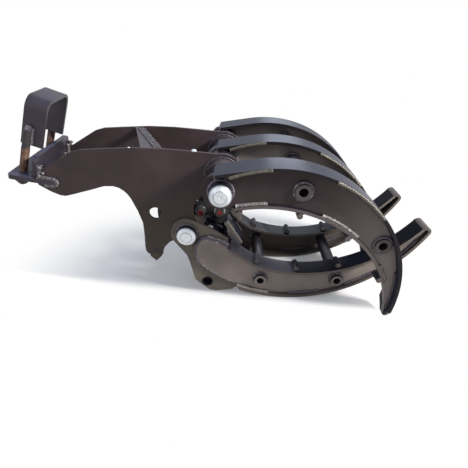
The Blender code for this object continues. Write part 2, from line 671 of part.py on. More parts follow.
places = (("right", -1.0, -UP_WEB_Y, -UP_STRIP_Y), ("centre", 0.0, 0.0, 0.0),
          ("left", 1.0, UP_WEB_Y, UP_STRIP_Y))
outer_loop = [on_tail(tail_r, UP_TAIL), on_tail(tail_r + STRIP_T, UP_TAIL)]
outer_loop += up_strip_loop(UP_OUT_C, UP_OUT_R - STRIP_T, tail_turn, UP_TIP_ANGLE, 40)
for side, sign, web_y, strip_y in places:
    pin_hole = PIN_HOLE_R if sign else SLEEVE_D / 2 + GAP
    loops = [upper_web(side == "centre")] + upper_holes(pin_hole)
    if side == "centre":
        loops.append(circle(RAM_EYE, RAM_PIN_D / 2 + EYE_PLAY, 32))
    slab("upper_tine_web_" + side, loops, *spread(web_y, UP_WEB_T),
         material("upper_tine_web_" + side, PAINT_WEB, 0.4, 0.0), UP_HOME)
    strip = slab("upper_tine_outer_strip_" + side, [outer_loop], *spread(strip_y, UP_STRIP_W),
                 material("upper_tine_outer_strip_" + side, PAINT_STRIP, 0.35, 0.0), UP_HOME)
    # The strip's two end corners are cut back to a blunt point.
    tip = polar(UP_OUT_C, UP_OUT_R, UP_TIP_ANGLE)
    corner = polar(UP_OUT_C, UP_OUT_R, UP_CORNER_ANGLE)
    reach = distance(tip, corner)
    down = Vector((tip[0] - corner[0], 0, tip[1] - corner[1])).normalized()
    for hand in (-1, 1):
        point = web_y - strip_y + hand * (UP_WEB_T / 2 + UP_CORNER_SIDE)
        edge = hand * (UP_STRIP_W / 2 + UP_CORNER_DEPTH)
        outline = [(point, UP_CORNER_DEPTH), (edge, -reach), (edge, CUT_PAST), (point, CUT_PAST)]
        place = axes((0, 1, 0), down, (tip[0], strip_y, tip[1]))
        name = "cut_strip_corner_" + side + ("_out" if hand > 0 else "_in")
        cutter = finish(name, slab_mesh([outline], 2 * reach, place), None, HOME, CUTTERS)
        combine(strip, cutter, "DIFFERENCE")
    start = UP_INNER_START_MID if side == "centre" else UP_INNER_START
    inner = slab("upper_tine_inner_strip_" + side,
                 [up_strip_loop(UP_IN_C, UP_IN_R, start, inner_end, 36)], *spread(web_y, UP_INNER_W),
                 material("upper_tine_inner_strip_" + side, PAINT_STRIP, 0.35, 0.0), UP_HOME)
    spots = [polar(UP_IN_C, UP_IN_R - CLEAT_D / 2 + CLEAT_SINK, angle)
             for angle in UP_CLEATS if angle < start]
    combine(inner, operand("join_upper_cleats_" + side,
                           [([circle(spot, CLEAT_D / 2, 20)], *spread(web_y, CLEAT_LEN))
                            for spot in spots]), "UNION")

up_tube_half = UP_WEB_Y + UP_WEB_T / 2 + UP_TUBE_PROUD
for name, spot in (("rear", UP_TUBE_REAR), ("front", UP_TUBE_FRONT)):
    slab("upper_cross_tube_" + name, [circle(spot, UP_TUBE_D / 2), circle(spot, UP_TUBE_BORE / 2, 32)],
         -up_tube_half, up_tube_half,
         material("upper_cross_tube_" + name, PAINT_WEB, 0.4, 0.0), UP_HOME)

sleeve_loops = [circle(UPPER_PIVOT, SLEEVE_D / 2), circle(UPPER_PIVOT, PIN_HOLE_R)]
collar_loops = [circle(UPPER_PIVOT, COLLAR_D / 2), circle(UPPER_PIVOT, PIN_HOLE_R)]
web_in = UP_WEB_Y - UP_WEB_T / 2
web_out = UP_WEB_Y + UP_WEB_T / 2
collar_end = web_out + GAP + COLLAR_LEN_UP
mid_half = BOSS_IN - SIDE_PLAY
slab("upper_hinge_sleeve_centre", sleeve_loops, -mid_half, mid_half,
     material("upper_hinge_sleeve_centre", PAINT, 0.45, 0.0), UP_HOME)
for side, sign, y in sides(BOSS_OUT + SIDE_PLAY):
    slab("upper_hinge_sleeve_" + side, sleeve_loops, y, sign * (web_in - GAP),
         material("upper_hinge_sleeve_" + side, PAINT, 0.45, 0.0), UP_HOME)
    slab("upper_hinge_collar_" + side, collar_loops, sign * (web_out + GAP), sign * collar_end,
         material("upper_hinge_collar_" + side, PAINT, 0.45, 0.0), UP_HOME)
head = collar_end + GAP
half_pin = [(0.0, head + CAP_LEN - CENTRE_MARK_DEPTH), (CENTRE_MARK_D / 2, head + CAP_LEN),
            (CAP_FACE_D / 2, head + CAP_LEN), (CAP_D / 2, head + CAP_RIM),
            (CAP_D / 2, head), (PIVOT_PIN_D / 2, head)]
turned("upper_pivot_pin", half_pin + [(r, -s) for r, s in reversed(half_pin)],
       UP_HOME, (0, 1, 0), material("upper_pivot_pin", ZINC, 0.35, 0.9), UP_HOME)

# Lower jaw: two tines, each on its own pivot pin.
hinge_in = PLATE_OUT + SIDE_PLAY
hinge_out = hinge_in + LOW_HINGE_T
hinge_outline = arc(LOWER_PIVOT, LOW_HINGE_R, 208, 63, 24)
hinge_outline += LOW_HINGE_FRONT_EDGE + LOW_HINGE_FOOT_EDGE + LOW_HINGE_REAR_EDGE
nose = crossing(LOW_OUT_C, LOW_OUT_R - NOSE_R, LOW_IN_C, LOW_IN_R + NOSE_R, -1)
nose_low = bearing(LOW_OUT_C, nose)
nose_top = bearing(LOW_IN_C, nose)
start_out = math.degrees(math.atan2(below_arc(LOW_OUT_C, LOW_OUT_R, LOW_STRIP_START) - LOW_OUT_C[1],
                                    LOW_STRIP_START - LOW_OUT_C[0]))
start_in = math.degrees(math.atan2(below_arc(LOW_IN_C, LOW_IN_R, LOW_FLARE_X) - LOW_IN_C[1],
                                   LOW_FLARE_X - LOW_IN_C[0]))
flare_foot = polar(LOW_IN_C, LOW_IN_R, start_in)
flare_top = (flare_foot[0] + LOW_FLARE_RISE[0], flare_foot[1] + LOW_FLARE_RISE[1])
flare_len = math.hypot(*LOW_FLARE_RISE)
flare_n = (-LOW_FLARE_RISE[1] / flare_len, LOW_FLARE_RISE[0] / flare_len)


def under_flare(depth):
    return (flare_top[0] + depth * flare_n[0], flare_top[1] + depth * flare_n[1])


def lower_band(offset, steps):
    """Path along the underside of the inner strip, round the nose and back along the outer strip."""
    path = arc(LOW_IN_C, LOW_IN_R + offset, start_in, nose_top, steps)
    path += arc(nose, NOSE_R - offset, nose_top + 180, nose_low, 10)[1:]
    path += arc(LOW_OUT_C, LOW_OUT_R - offset, nose_low, start_out, steps)[1:]
    return path


web_path = lower_band(STRIP_T + GAP, 36)
web_outline = LOW_WEB_TOP_EDGE + [under_flare(STRIP_T + GAP)] + web_path + LOW_WEB_REAR_EDGE
gap_in = math.degrees(GAP / LOW_IN_R)
inner_loop = [flare_top] + arc(LOW_IN_C, LOW_IN_R, start_in, nose_top - gap_in, 36)
inner_loop += arc(LOW_IN_C, LOW_IN_R + STRIP_T, nose_top - gap_in, start_in, 36)
inner_loop += [under_flare(STRIP_T)]
wrap_loop = arc(nose, NOSE_R, nose_top + 180, nose_low, 12)
wrap_loop += arc(LOW_OUT_C, LOW_OUT_R, nose_low, start_out, 40)[1:]
wrap_loop += arc(LOW_OUT_C, LOW_OUT_R - STRIP_T, start_out, nose_low, 40)
wrap_loop += arc(nose, NOSE_R - STRIP_T, nose_low, nose_top + 180, 12)[1:]

low_tube_hole = LOW_TUBE_D / 2 + GAP
low_web_in = hinge_out + GAP
low_web_out = low_web_in + LOW_WEB_T
low_collar_end = hinge_out + GAP + COLLAR_LEN_LOW
for side, sign, y in sides(hinge_in):
    hinge = slab("lower_hinge_plate_" + side, [hinge_outline, circle(EAR_HOLE, EAR_HOLE_D / 2)],
                 y, sign * hinge_out, material("lower_hinge_plate_" + side, PAINT, 0.4, 0.0), LOW_HOME)
    collar = slab("join_lower_collar_" + side, [circle(LOWER_PIVOT, COLLAR_D / 2)],
                  sign * (hinge_out - LOW_HINGE_T / 2), sign * low_collar_end, None, HOME, CUTTERS)
    combine(hinge, collar, "UNION")
    bore = slab("cut_lower_bore_" + side, [circle(LOWER_PIVOT, PIN_HOLE_R)],
                sign * (hinge_in - CUT_PAST), sign * (low_collar_end + CUT_PAST), None, HOME, CUTTERS)
    combine(hinge, bore, "DIFFERENCE")
    slab("lower_tine_web_" + side,
         [web_outline, circle(LOW_TUBE_REAR, low_tube_hole), circle(LOW_TUBE_FRONT, low_tube_hole)],
         sign * low_web_in, sign * low_web_out,
         material("lower_tine_web_" + side, (0.11, 0.10, 0.095), 0.42, 0.0), LOW_HOME)
    inner = slab("lower_tine_inner_strip_" + side, [inner_loop],
                 *spread(sign * LOW_STRIP_Y, LOW_STRIP_W),
                 material("lower_tine_inner_strip_" + side, PAINT_STRIP, 0.33, 0.0), LOW_HOME)
    slab("lower_tine_outer_strip_" + side, [wrap_loop], *spread(sign * LOW_STRIP_Y, LOW_STRIP_W),
         material("lower_tine_outer_strip_" + side, PAINT, 0.38, 0.0), LOW_HOME)
    head = low_collar_end + GAP
    turned("lower_pivot_pin_" + side,
           [(0.0, LOW_CAP_LEN - CENTRE_MARK_DEPTH), (CENTRE_MARK_D / 2, LOW_CAP_LEN),
            (CAP_FACE_D / 2, LOW_CAP_LEN), (CAP_D / 2, CAP_RIM), (CAP_D / 2, 0.0),
            (PIVOT_PIN_D / 2, 0.0), (PIVOT_PIN_D / 2, LOWER_BOSS_INNER - head),
            (0.0, LOWER_BOSS_INNER - head)],
           (LOWER_PIVOT[0], sign * head, LOWER_PIVOT[1]), (0, sign, 0),
           material("lower_pivot_pin_" + side, ZINC, 0.35, 0.9), LOW_HOME)
    low_cleats = []
    for x in LOW_CLEATS:
        turn = math.degrees(math.atan2(below_arc(LOW_IN_C, LOW_IN_R, x) - LOW_IN_C[1],
                                       x - LOW_IN_C[0]))
        spot = polar(LOW_IN_C, LOW_IN_R - CLEAT_D / 2 + CLEAT_SINK, turn)
        low_cleats.append(([circle(spot, CLEAT_D / 2, 20)], *spread(sign * LOW_STRIP_Y, CLEAT_LEN)))
    combine(inner, operand("join_lower_cleats_" + side, low_cleats), "UNION")

low_tube_half = low_web_out + LOW_TUBE_PROUD
for name, spot in (("rear", LOW_TUBE_REAR), ("front", LOW_TUBE_FRONT)):
    slab("lower_cross_tube_" + name,
         [circle(spot, LOW_TUBE_D / 2), circle(spot, LOW_TUBE_BORE / 2, 32)],
         -low_tube_half, low_tube_half,
         material("lower_cross_tube_" + name, PAINT_WEB, 0.4, 0.0), LOW_HOME)

# Throat plate between the two tines, with the ram's lugs on its back.
throat = (THROAT_FOOT[0] - THROAT_TOP[0], THROAT_FOOT[1] - THROAT_TOP[1])
throat_len = math.hypot(*throat)
back = (throat[1] / throat_len, -throat[0] / throat_len)


def behind(point, depth):
    return (point[0] + back[0] * depth, point[1] + back[1] * depth)


throat_half = LOW_STRIP_Y - LOW_STRIP_W / 2 - GAP
throat_plate = slab(
    "lower_throat_plate",
    [[THROAT_TOP, THROAT_FOOT, behind(THROAT_FOOT, THROAT_T), behind(THROAT_TOP, THROAT_T)]],
    -throat_half, throat_half, material("lower_throat_plate", PAINT, 0.4, 0.0), LOW_HOME)
lug_root = THROAT_T * 0.8
lug_top = behind((THROAT_TOP[0] + throat[0] * 0.22, THROAT_TOP[1] + throat[1] * 0.22), lug_root)
lug_foot = behind((THROAT_FOOT[0] - throat[0] * 0.03, THROAT_FOOT[1] - throat[1] * 0.03), lug_root)
lug_loop = [lug_top, lug_foot] + arc(RAM_BASE, LUG_R, -150, -310, 16)
lug_in = RAM_EYE_W / 2 + SIDE_PLAY
lug_holes = circle(RAM_BASE, RAM_PIN_D / 2 + GAP, 32)
lugs = operand("join_ram_lugs",
               [([lug_loop, lug_holes], -lug_in - LUG_T, -lug_in),
                ([lug_loop, lug_holes], lug_in, lug_in + LUG_T)])
combine(throat_plate, lugs, "UNION")
pin_half = lug_in + LUG_T + CROSS_PIN_PROUD
slab("ram_base_pin", [circle(RAM_BASE, RAM_PIN_D / 2, 32)], -pin_half, pin_half,
     material("ram_base_pin", ZINC, 0.35, 0.9), LOW_HOME)

# Ram: barrel with valve block on the lower jaw, rod and fork on the upper jaw.
ram_len = distance(RAM_BASE, RAM_EYE)
ram_dir = ((RAM_EYE[0] - RAM_BASE[0]) / ram_len, (RAM_EYE[1] - RAM_BASE[1]) / ram_len)
RAM_AXIS = Vector((ram_dir[0], 0.0, ram_dir[1]))
BASE_POINT = Vector((RAM_BASE[0], 0.0, RAM_BASE[1]))
ram_turn = math.degrees(math.atan2(ram_dir[1], ram_dir[0]))


def on_ram(s, n):
    return (RAM_BASE[0] + s * ram_dir[0] + n * ram_dir[1], RAM_BASE[1] + s * ram_dir[1] - n * ram_dir[0])


barrel_r = RAM_BARREL_D / 2
barrel_end = ram_len - FORK_BACK - ROD_SHOW - GLAND_FLANGE - GAP
bore_r = RAM_BORE / 2
rod_r = RAM_ROD_D / 2
barrel = turned("ram_barrel",
                [(0.0, BARREL_FLOOR), (bore_r, BARREL_FLOOR), (bore_r, barrel_end),
                 (barrel_r, barrel_end), (barrel_r, BARREL_START), (0.0, BARREL_START)],
                BASE_POINT, RAM_AXIS, material("ram_barrel", (0.02, 0.02, 0.022), 0.4, 0.0), BARREL_HOME)
neck_loop = [on_ram(BARREL_START + 0.003, -RAM_EYE_R), on_ram(BARREL_START + 0.003, RAM_EYE_R)]
neck_loop += arc(RAM_BASE, RAM_EYE_R, ram_turn - 90, ram_turn - 270, 24)
neck = slab("join_ram_neck", [neck_loop, circle(RAM_BASE, RAM_PIN_D / 2 + RUN_GAP, 32)],
            -RAM_EYE_W / 2, RAM_EYE_W / 2, None, HOME, CUTTERS)
combine(barrel, neck, "UNION")

gland_face = barrel_end + GAP + GLAND_FLANGE
turned("ram_gland",
       [(rod_r + RUN_GAP, gland_face), (barrel_r, gland_face), (barrel_r, barrel_end + GAP),
        (bore_r - GAP, barrel_end + GAP), (bore_r - GAP, barrel_end - GLAND_DEPTH),
        (rod_r + RUN_GAP, barrel_end - GLAND_DEPTH)],
       BASE_POINT, RAM_AXIS, material("ram_gland", (0.03, 0.03, 0.032), 0.4, 0.0), BARREL_HOME)

fork_back = ram_len - FORK_BACK
turned("ram_rod",
       [(0.0, fork_back - GAP), (rod_r, fork_back - GAP), (rod_r, PISTON_START + PISTON_LEN),
        (bore_r - RUN_GAP, PISTON_START + PISTON_LEN), (bore_r - RUN_GAP, PISTON_START),
        (0.0, PISTON_START)],
       BASE_POINT, RAM_AXIS, material("ram_rod", (0.75, 0.75, 0.76), 0.15, 1.0), ROD_HOME)
cheek_in = UP_WEB_T / 2 + 0.001
cheek_out = cheek_in + FORK_CHEEK
fork_corner = math.hypot(FORK_BACK, FORK_BACK_W / 2)
fork_turn = 180 - math.degrees(math.atan2(FORK_BACK_W / 2, FORK_BACK) + math.acos(LOBE_R / fork_corner))
fork_loop = [on_ram(fork_back, FORK_BACK_W / 2), on_ram(fork_back, -FORK_BACK_W / 2)]
fork_loop += arc(RAM_EYE, LOBE_R, ram_turn + fork_turn, ram_turn - fork_turn, 24)
fork = slab("ram_rod_clevis", [fork_loop, circle(RAM_EYE, RAM_PIN_D / 2 + GAP, 32)],
            -cheek_out, cheek_out, material("ram_rod_clevis", (0.03, 0.03, 0.032), 0.4, 0.0), ROD_HOME)
slot_half = LOBE_R + CUT_PAST
slot_loop = [on_ram(fork_back + FORK_FLOOR, slot_half), on_ram(fork_back + FORK_FLOOR, -slot_half),
             on_ram(ram_len + slot_half, -slot_half), on_ram(ram_len + slot_half, slot_half)]
slot = slab("cut_fork_slot", [slot_loop], -cheek_in, cheek_in, None, HOME, CUTTERS)
combine(fork, slot, "DIFFERENCE")
slab("ram_clevis_pin", [circle(RAM_EYE, RAM_PIN_D / 2, 32)], -cheek_out - CROSS_PIN_PROUD,
     cheek_out + CROSS_PIN_PROUD,
     material("ram_clevis_pin", ZINC, 0.35, 0.9), ROD_HOME)

valve_back = -barrel_r - GAP
valve_front = valve_back - VALVE_T
slab("ram_valve_block",
     [[(VALVE_X[0], VALVE_Z[0]), (VALVE_X[1], VALVE_Z[0]), (VALVE_X[1], VALVE_Z[1]),
       (VALVE_X[0], VALVE_Z[1])]],
     valve_front, valve_back, material("ram_valve_block", (0.02, 0.02, 0.022), 0.4, 0.0), BARREL_HOME)
port_z = (VALVE_Z[0] + VALVE_Z[1]) / 2
ports = [(PORT_RIGHT, port_z), (PORT_RIGHT - PORT_PITCH, port_z)]
adapter_end = valve_front - GAP - PORT_LEN
plug_start = adapter_end - GAP
for side, spot in zip(("right", "left"), ports):
    turned("ram_port_adapter_" + side,
           [(0.0, PORT_LEN), (PORT_D / 2 - 0.0015, PORT_LEN), (PORT_D / 2, PORT_LEN - 0.0015),
            (PORT_D / 2, 0.0), (0.0, 0.0)],
           (spot[0], valve_front - GAP, spot[1]), (0, -1, 0),
           material("ram_port_adapter_" + side, ZINC, 0.35, 0.9), BARREL_HOME, steps=40)
    turned("ram_port_plug_" + side,
           [(0.0, PLUG_LEN - 0.003), (PLUG_D / 2 - 0.006, PLUG_LEN - 0.003),
            (PLUG_D / 2 - 0.005, PLUG_LEN), (PLUG_D / 2 - 0.0015, PLUG_LEN),
            (PLUG_D / 2, PLUG_LEN - 0.0015), (PLUG_D / 2, 0.0), (0.0, 0.0)],
           (spot[0], plug_start, spot[1]), (0, -1, 0),
           material("ram_port_plug_" + side, (0.28, 0.01, 0.02), 0.35, 0.0), BARREL_HOME, steps=40)
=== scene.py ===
"""Looks of the log grapple: paint, plating, welds, threads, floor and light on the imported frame."""
import math

import bmesh
import bpy
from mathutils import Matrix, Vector


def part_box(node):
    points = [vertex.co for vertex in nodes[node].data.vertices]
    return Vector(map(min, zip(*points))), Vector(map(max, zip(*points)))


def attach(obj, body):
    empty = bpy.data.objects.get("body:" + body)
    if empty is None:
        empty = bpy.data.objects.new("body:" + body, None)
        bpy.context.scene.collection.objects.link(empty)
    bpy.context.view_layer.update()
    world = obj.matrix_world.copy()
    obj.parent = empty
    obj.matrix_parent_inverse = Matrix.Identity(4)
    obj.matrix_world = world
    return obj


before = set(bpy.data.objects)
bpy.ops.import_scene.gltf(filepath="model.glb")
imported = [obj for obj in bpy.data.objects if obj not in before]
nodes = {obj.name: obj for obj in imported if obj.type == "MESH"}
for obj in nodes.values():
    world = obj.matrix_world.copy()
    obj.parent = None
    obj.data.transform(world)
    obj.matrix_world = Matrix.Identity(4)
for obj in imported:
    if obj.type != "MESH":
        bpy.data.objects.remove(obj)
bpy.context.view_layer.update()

# Camera. It stands about a metre from the near side of the grapple and 0.75 m above the floor, held
# level, and looks down by about 30 degrees.
CAMERA_PLACE = (0.026, -1.076, 0.750)
CAMERA_TILT = 60.4
SENSOR_WIDTH = 36.0
FOCAL_LENGTH = 30.12
camera_data = bpy.data.cameras.new("photo_camera")
camera_data.sensor_width = SENSOR_WIDTH
camera_data.lens = FOCAL_LENGTH
camera_data.clip_start = 0.05
camera = bpy.data.objects.new("photo_camera", camera_data)
camera.location = CAMERA_PLACE
camera.rotation_euler = (math.radians(CAMERA_TILT), 0.0, 0.0)
bpy.context.scene.collection.objects.link(camera)
bpy.context.scene.camera = camera
bpy.context.scene.view_settings.view_transform = "Standard"


# Frame. Two side plates of 8 mm steel with pivot bosses, a diagonal brace and a stop bar: flame cut,
# shot blasted, welded, and sprayed with one coat of satin black. The coat reads brown-black on upright
# faces and greyer where dust lies, and it thins to dull steel along the cut edges. Low down it is
# painted browner, as painted light from the floor.
class Value:
    """A socket that takes part in arithmetic: each operator adds its Math node."""

    def __init__(self, graph, socket):
        self.graph = graph
        self.socket = socket

    def _math(self, operation, *inputs):
        return self.graph.add("ShaderNodeMath", {"operation": operation}, dict(enumerate(inputs)))

    def __add__(self, other):
        return self._math("ADD", self, other)

    def __radd__(self, other):
        return self._math("ADD", other, self)

    def __sub__(self, other):
        return self._math("SUBTRACT", self, other)

    def __rsub__(self, other):
        return self._math("SUBTRACT", other, self)

    def __mul__(self, other):
        return self._math("MULTIPLY", self, other)

    def __rmul__(self, other):
        return self._math("MULTIPLY", other, self)

    def __abs__(self):
        return self._math("ABSOLUTE", self)

    def sine(self):
        return self._math("SINE", self)

    def clamp(self):
        """Held between 0 and 1."""
        return self.graph.add("ShaderNodeClamp", {}, {0: self})

    def step(self, low, high):
        """0 below low, 1 above high, smooth between."""
        return self.graph.add("ShaderNodeMapRange", {"interpolation_type": "SMOOTHSTEP"},
                              {"Value": self, "From Min": low, "From Max": high})


class Graph:
    """Node tree of a material or of the world."""

    def __init__(self, owner):
        owner.use_nodes = True
        self.owner = owner
        self.nodes = owner.node_tree.nodes
        self.links = owner.node_tree.links

    def put(self, node, key, value):
        if isinstance(value, Value):
            self.links.new(value.socket, node.inputs[key])
        else:
            node.inputs[key].default_value = value

    def add(self, kind, settings, inputs, out=0):
        """One node: its settings first, a ramp's stops among them, then its sockets."""
        node = self.nodes.new(kind)
        for key, value in settings.items():
            if key == "stops":
                ramp = node.color_ramp.elements
                while len(ramp) < len(value):
                    ramp.new(0.5)
                for element, (place, colour) in zip(ramp, value):
                    element.position = place
                    element.color = (*colour, 1.0)
            else:
                setattr(node, key, value)
        for key, value in inputs.items():
            self.put(node, key, value)
        return Value(self, node.outputs[out])

    def place(self, scale=None):
        """Object coordinates in metres, stretched when a scale is given."""
        coords = self.add("ShaderNodeTexCoord", {}, {}, "Object")
        if scale is None:
            return coords
        return self.add("ShaderNodeMapping", {}, {"Vector": coords, "Scale": scale})

    def along(self, axis):
        """Place along one axis, in metres."""
        return self.add("ShaderNodeSeparateXYZ", {}, {0: self.place()}, axis)

    def facing(self, axis):
        """How far the surface looks along one axis, from -1 to 1."""
        normal = self.add("ShaderNodeNewGeometry", {}, {}, "Normal")
        return self.add("ShaderNodeSeparateXYZ", {}, {0: normal}, axis)

    def vector(self, operation, *inputs, out=0):
        return self.add("ShaderNodeVectorMath", {"operation": operation}, dict(enumerate(inputs)), out)

    def from_axis(self, centre):
        """Distance from the line along Y through a point of the side view."""
        apart = self.vector("SUBTRACT", self.place(), (centre[0], 0.0, centre[1]))
        flat = self.vector("MULTIPLY", apart, (1.0, 0.0, 1.0))
        return self.vector("LENGTH", flat, out="Value")

    def noise(self, size, detail, rough=0.55, where=None):
        """Noise whose blobs are about size metres wide."""
        return self.add("ShaderNodeTexNoise", {},
                        {"Vector": where or self.place(), "Scale": 1.0 / size, "Detail": detail,
                         "Roughness": rough})

    def mix(self, mask, low, high):
        """The low colour where the mask is 0 and the high one where it is 1."""
        def colour(value):
            return value if isinstance(value, Value) else (*value, 1.0)
        return self.add("ShaderNodeMix", {"data_type": "RGBA"}, {0: mask, 6: colour(low), 7: colour(high)}, 2)

    def bump(self, height, distance, strength, normal=None):
        inputs = {"Strength": strength, "Distance": distance, "Height": height}
        if normal is not None:
            inputs["Normal"] = normal
        return self.add("ShaderNodeBump", {}, inputs)

    def rounded(self, radius):
        """Normal of a surface whose edges are rounded."""
        return self.add("ShaderNodeBevel", {"samples": 4}, {"Radius": radius})

    def edges(self, radius):
        """1 on an outer or inner edge, 0 on flat stretches."""
        true = self.add("ShaderNodeNewGeometry", {}, {}, "True Normal")
        same = self.vector("DOT_PRODUCT", self.rounded(radius), true, out="Value")
        return (1.0 - same).clamp()

    def finish(self, **inputs):
        """Sets or links the sockets of the material's shader and returns the material."""
        for name, value in inputs.items():
            self.put(self.nodes["Principled BSDF"], name.replace("_", " "), value)
        return self.owner


def shade(colour, factor):
    """The colour made darker or lighter."""
    return tuple(part * factor for part in colour)


BARE_STEEL = (0.16, 0.15, 0.155)
GLOSS_BLACK = (0.014, 0.013, 0.019)
GREY_DUST = (0.110, 0.105, 0.112)


def satin_paint(name, colour, gloss=0.36, dust=0.35, wear=0.5, sheen=0.22, side=None, low=None,
                hub=None, dust_and_sky_tint=GREY_DUST, beyond=None):
    """gloss: lowest roughness. side: colour of faces along Y. low: colour near the ground and the two
    heights between which it ends, painted light from the floor. hub: axis and radius of a collar in
    gloss black. powder: colour of the dust on what faces up, a painted reflection of the sky where it
    is blue. beyond: axis, two distances from it, the colour past them and how far the border leans
    along Y; it paints light and shade past that border."""
    g = Graph(bpy.data.materials.new(name))
    broad = g.noise(size=0.11, detail=3.0)
    fine = g.noise(size=0.0035, detail=3.0, rough=0.6)
    grain = g.noise(size=0.0011, detail=2.0, rough=0.5)
    tone = g.mix(broad.step(0.3, 0.7), shade(colour, 0.80), shade(colour, 1.22))
    # Painted light: the colour near the ground stands for light thrown up by the floor.
    if low:
        painted_bounce_colour, lowest, highest = low
        height = g.along("Z") + broad * 0.03
        tone = g.mix(height.step(lowest, highest), painted_bounce_colour, tone)
    # Painted light and shade: the colour past the border stands for the light and shade that fall there.
    if beyond:
        axis, near, far, far_colour, lean = beyond
        distance = g.from_axis(axis) + g.along("Y") * lean
        tone = g.mix(distance.step(near, far), tone, far_colour)
    if side:
        looks_sideways = abs(g.facing("Y")).step(0.80, 0.92)
        tone = g.mix(looks_sideways * (0.75 + fine * 0.4), tone, side)
    # What faces up takes the dust colour; where that colour is blue it is a painted reflection of the sky.
    lying_dust_and_sky_tint = (g.facing("Z").step(0.35, 0.95) * broad.step(0.35, 0.75) * fine.step(0.35, 0.62)) * dust
    tone = g.mix(lying_dust_and_sky_tint, tone, dust_and_sky_tint)
    chips = g.edges(radius=0.0014).step(0.04, 0.32) * fine.step(0.44, 0.60) * wear
    tone = g.mix(chips, tone, BARE_STEEL)
    specks = g.noise(size=0.006, detail=2.0, rough=0.5).step(0.71, 0.75) * 0.35
    tone = g.mix(specks, tone, shade(colour, 2.2))
    rough = (gloss + broad * 0.16 + lying_dust_and_sky_tint * 0.5 + fine * 0.06).clamp()
    if hub:
        axis, radius = hub
        inside = 1.0 - g.from_axis(axis).step(radius - 0.0006, radius)
        tone = g.mix(inside, tone, GLOSS_BLACK)
        rough = rough - inside * 0.18
    orange_peel = g.bump(grain * 0.5 + fine * 0.5, distance=0.00022, strength=0.55,
                         normal=g.rounded(0.0011))
    return g.finish(Base_Color=tone, Roughness=rough, Metallic=chips * 0.5, Specular_IOR_Level=sheen,
                    Normal=orange_peel)


def paint_nodes(material, names):
    """Gives CAD pieces a finish in place of their plain one."""
    for name in names:
        mesh = nodes[name].data
        mesh.materials.clear()
        mesh.materials.append(material)


SIDES = ("left", "right")
TINES = ("left", "centre", "right")


def named(stem, ends=SIDES):
    """Names of like CAD pieces."""
    return [stem + end for end in ends]


# The frame's low colour is painted light from the floor.
frame_paint = satin_paint("paint_frame", (0.046, 0.0320, 0.0340), gloss=0.34,
                          low=((0.060, 0.050, 0.038), 0.20, 0.36))
brace_paint = satin_paint("paint_brace", (0.075, 0.066, 0.074), gloss=0.28, dust=0.45)
paint_nodes(frame_paint, named("frame_plate_") + named("frame_upper_boss_") + named("frame_lower_boss_"))
paint_nodes(frame_paint, ["lower_stop_bar"])
paint_nodes(brace_paint, ["frame_cross_brace"])

# Bent and turned walls of every CAD piece shade smooth. Their triangles are loose, so they are
# joined in a modifier, and creases sharper than CREASE stay sharp.
CREASE = math.radians(31)
JOIN_WITHIN = 0.00002
for node in nodes.values():
    mesh = node.data
    if "custom_normal" in mesh.attributes:
        mesh.attributes.remove(mesh.attributes["custom_normal"])
    mesh.polygons.foreach_set("use_smooth", [True] * len(mesh.polygons))
    node.modifiers.new("join", "WELD").merge_threshold = JOIN_WITHIN
    split = node.modifiers.new("creases", "EDGE_SPLIT")
    split.split_angle = CREASE
    split.use_edge_sharp = False


# Welds of the frame: fillets laid by hand round the bosses, along the brace and over the stop bar.
# Each is weld metal under the same black coat, rippled where the torch paused and a little uneven;
# the coat is thin on the crests, so some of them show bright.
def bead_tree():
    """A bead swept along the paths it is given, with ripples and a drifting width."""
    tree = bpy.data.node_groups.new("weld_bead", "GeometryNodeTree")
    sockets = tree.interface
    sockets.new_socket("Path", in_out="INPUT", socket_type="NodeSocketGeometry")
    for label in ("Bead Radius", "Ripple Pitch", "Ripple Depth", "Wander"):
        sockets.new_socket(label, in_out="INPUT", socket_type="NodeSocketFloat")
    sockets.new_socket("Seed", in_out="INPUT", socket_type="NodeSocketInt")
    sockets.new_socket("Finish", in_out="INPUT", socket_type="NodeSocketMaterial")
    sockets.new_socket("Bead", in_out="OUTPUT", socket_type="NodeSocketGeometry")

    def add(kind, settings=None, inputs=None):
        node = tree.nodes.new(kind)
        for key, value in (settings or {}).items():
            setattr(node, key, value)
        for key, value in (inputs or {}).items():
            if hasattr(value, "is_output"):
                tree.links.new(value, node.inputs[key])
            else:
                node.inputs[key].default_value = value
        return node

    def maths(operation, a, b=0.0):
        return add("ShaderNodeMath", {"operation": operation}, {0: a, 1: b}).outputs[0]

    given = add("NodeGroupInput").outputs
    quarter = maths("DIVIDE", given["Ripple Pitch"], 4.0)
    fine = add("GeometryNodeResampleCurve", {"mode": "LENGTH"}, {"Curve": given["Path"], "Length": quarter})
    run_length = add("GeometryNodeSplineParameter").outputs["Length"]
    phase = maths("FRACT", maths("DIVIDE", run_length, given["Ripple Pitch"]))
    dip = maths("MULTIPLY", phase, given["Ripple Depth"])
    wander = add("ShaderNodeTexNoise", {"noise_dimensions": "4D"},
                 {"W": maths("MULTIPLY", given["Seed"], 7.31), "Scale": 90.0, "Detail": 2.0})
    drift = maths("MULTIPLY", maths("SUBTRACT", wander.outputs[0], 0.5), given["Wander"])
    factor = maths("ADD", maths("SUBTRACT", 1.0, dip), maths("MULTIPLY", drift, 2.0))
    size = maths("MULTIPLY", factor, given["Bead Radius"])
    ring = add("GeometryNodeCurvePrimitiveCircle", None, {"Resolution": 8, "Radius": 1.0})
    sweep = add("GeometryNodeCurveToMesh", None,
                {"Curve": fine.outputs[0], "Profile Curve": ring.outputs[0], "Scale": size,
                 "Fill Caps": True})
    smooth = add("GeometryNodeSetShadeSmooth", None, {"Geometry": sweep.outputs[0]})
    joined = add("GeometryNodeRealizeInstances", None, {"Geometry": smooth.outputs[0]})
    dressed = add("GeometryNodeSetMaterial", None,
                  {"Geometry": joined.outputs[0], "Material": given["Finish"]})
    tree.links.new(dressed.outputs[0], add("NodeGroupOutput").inputs[0])
    return tree


weld_bead = bead_tree()


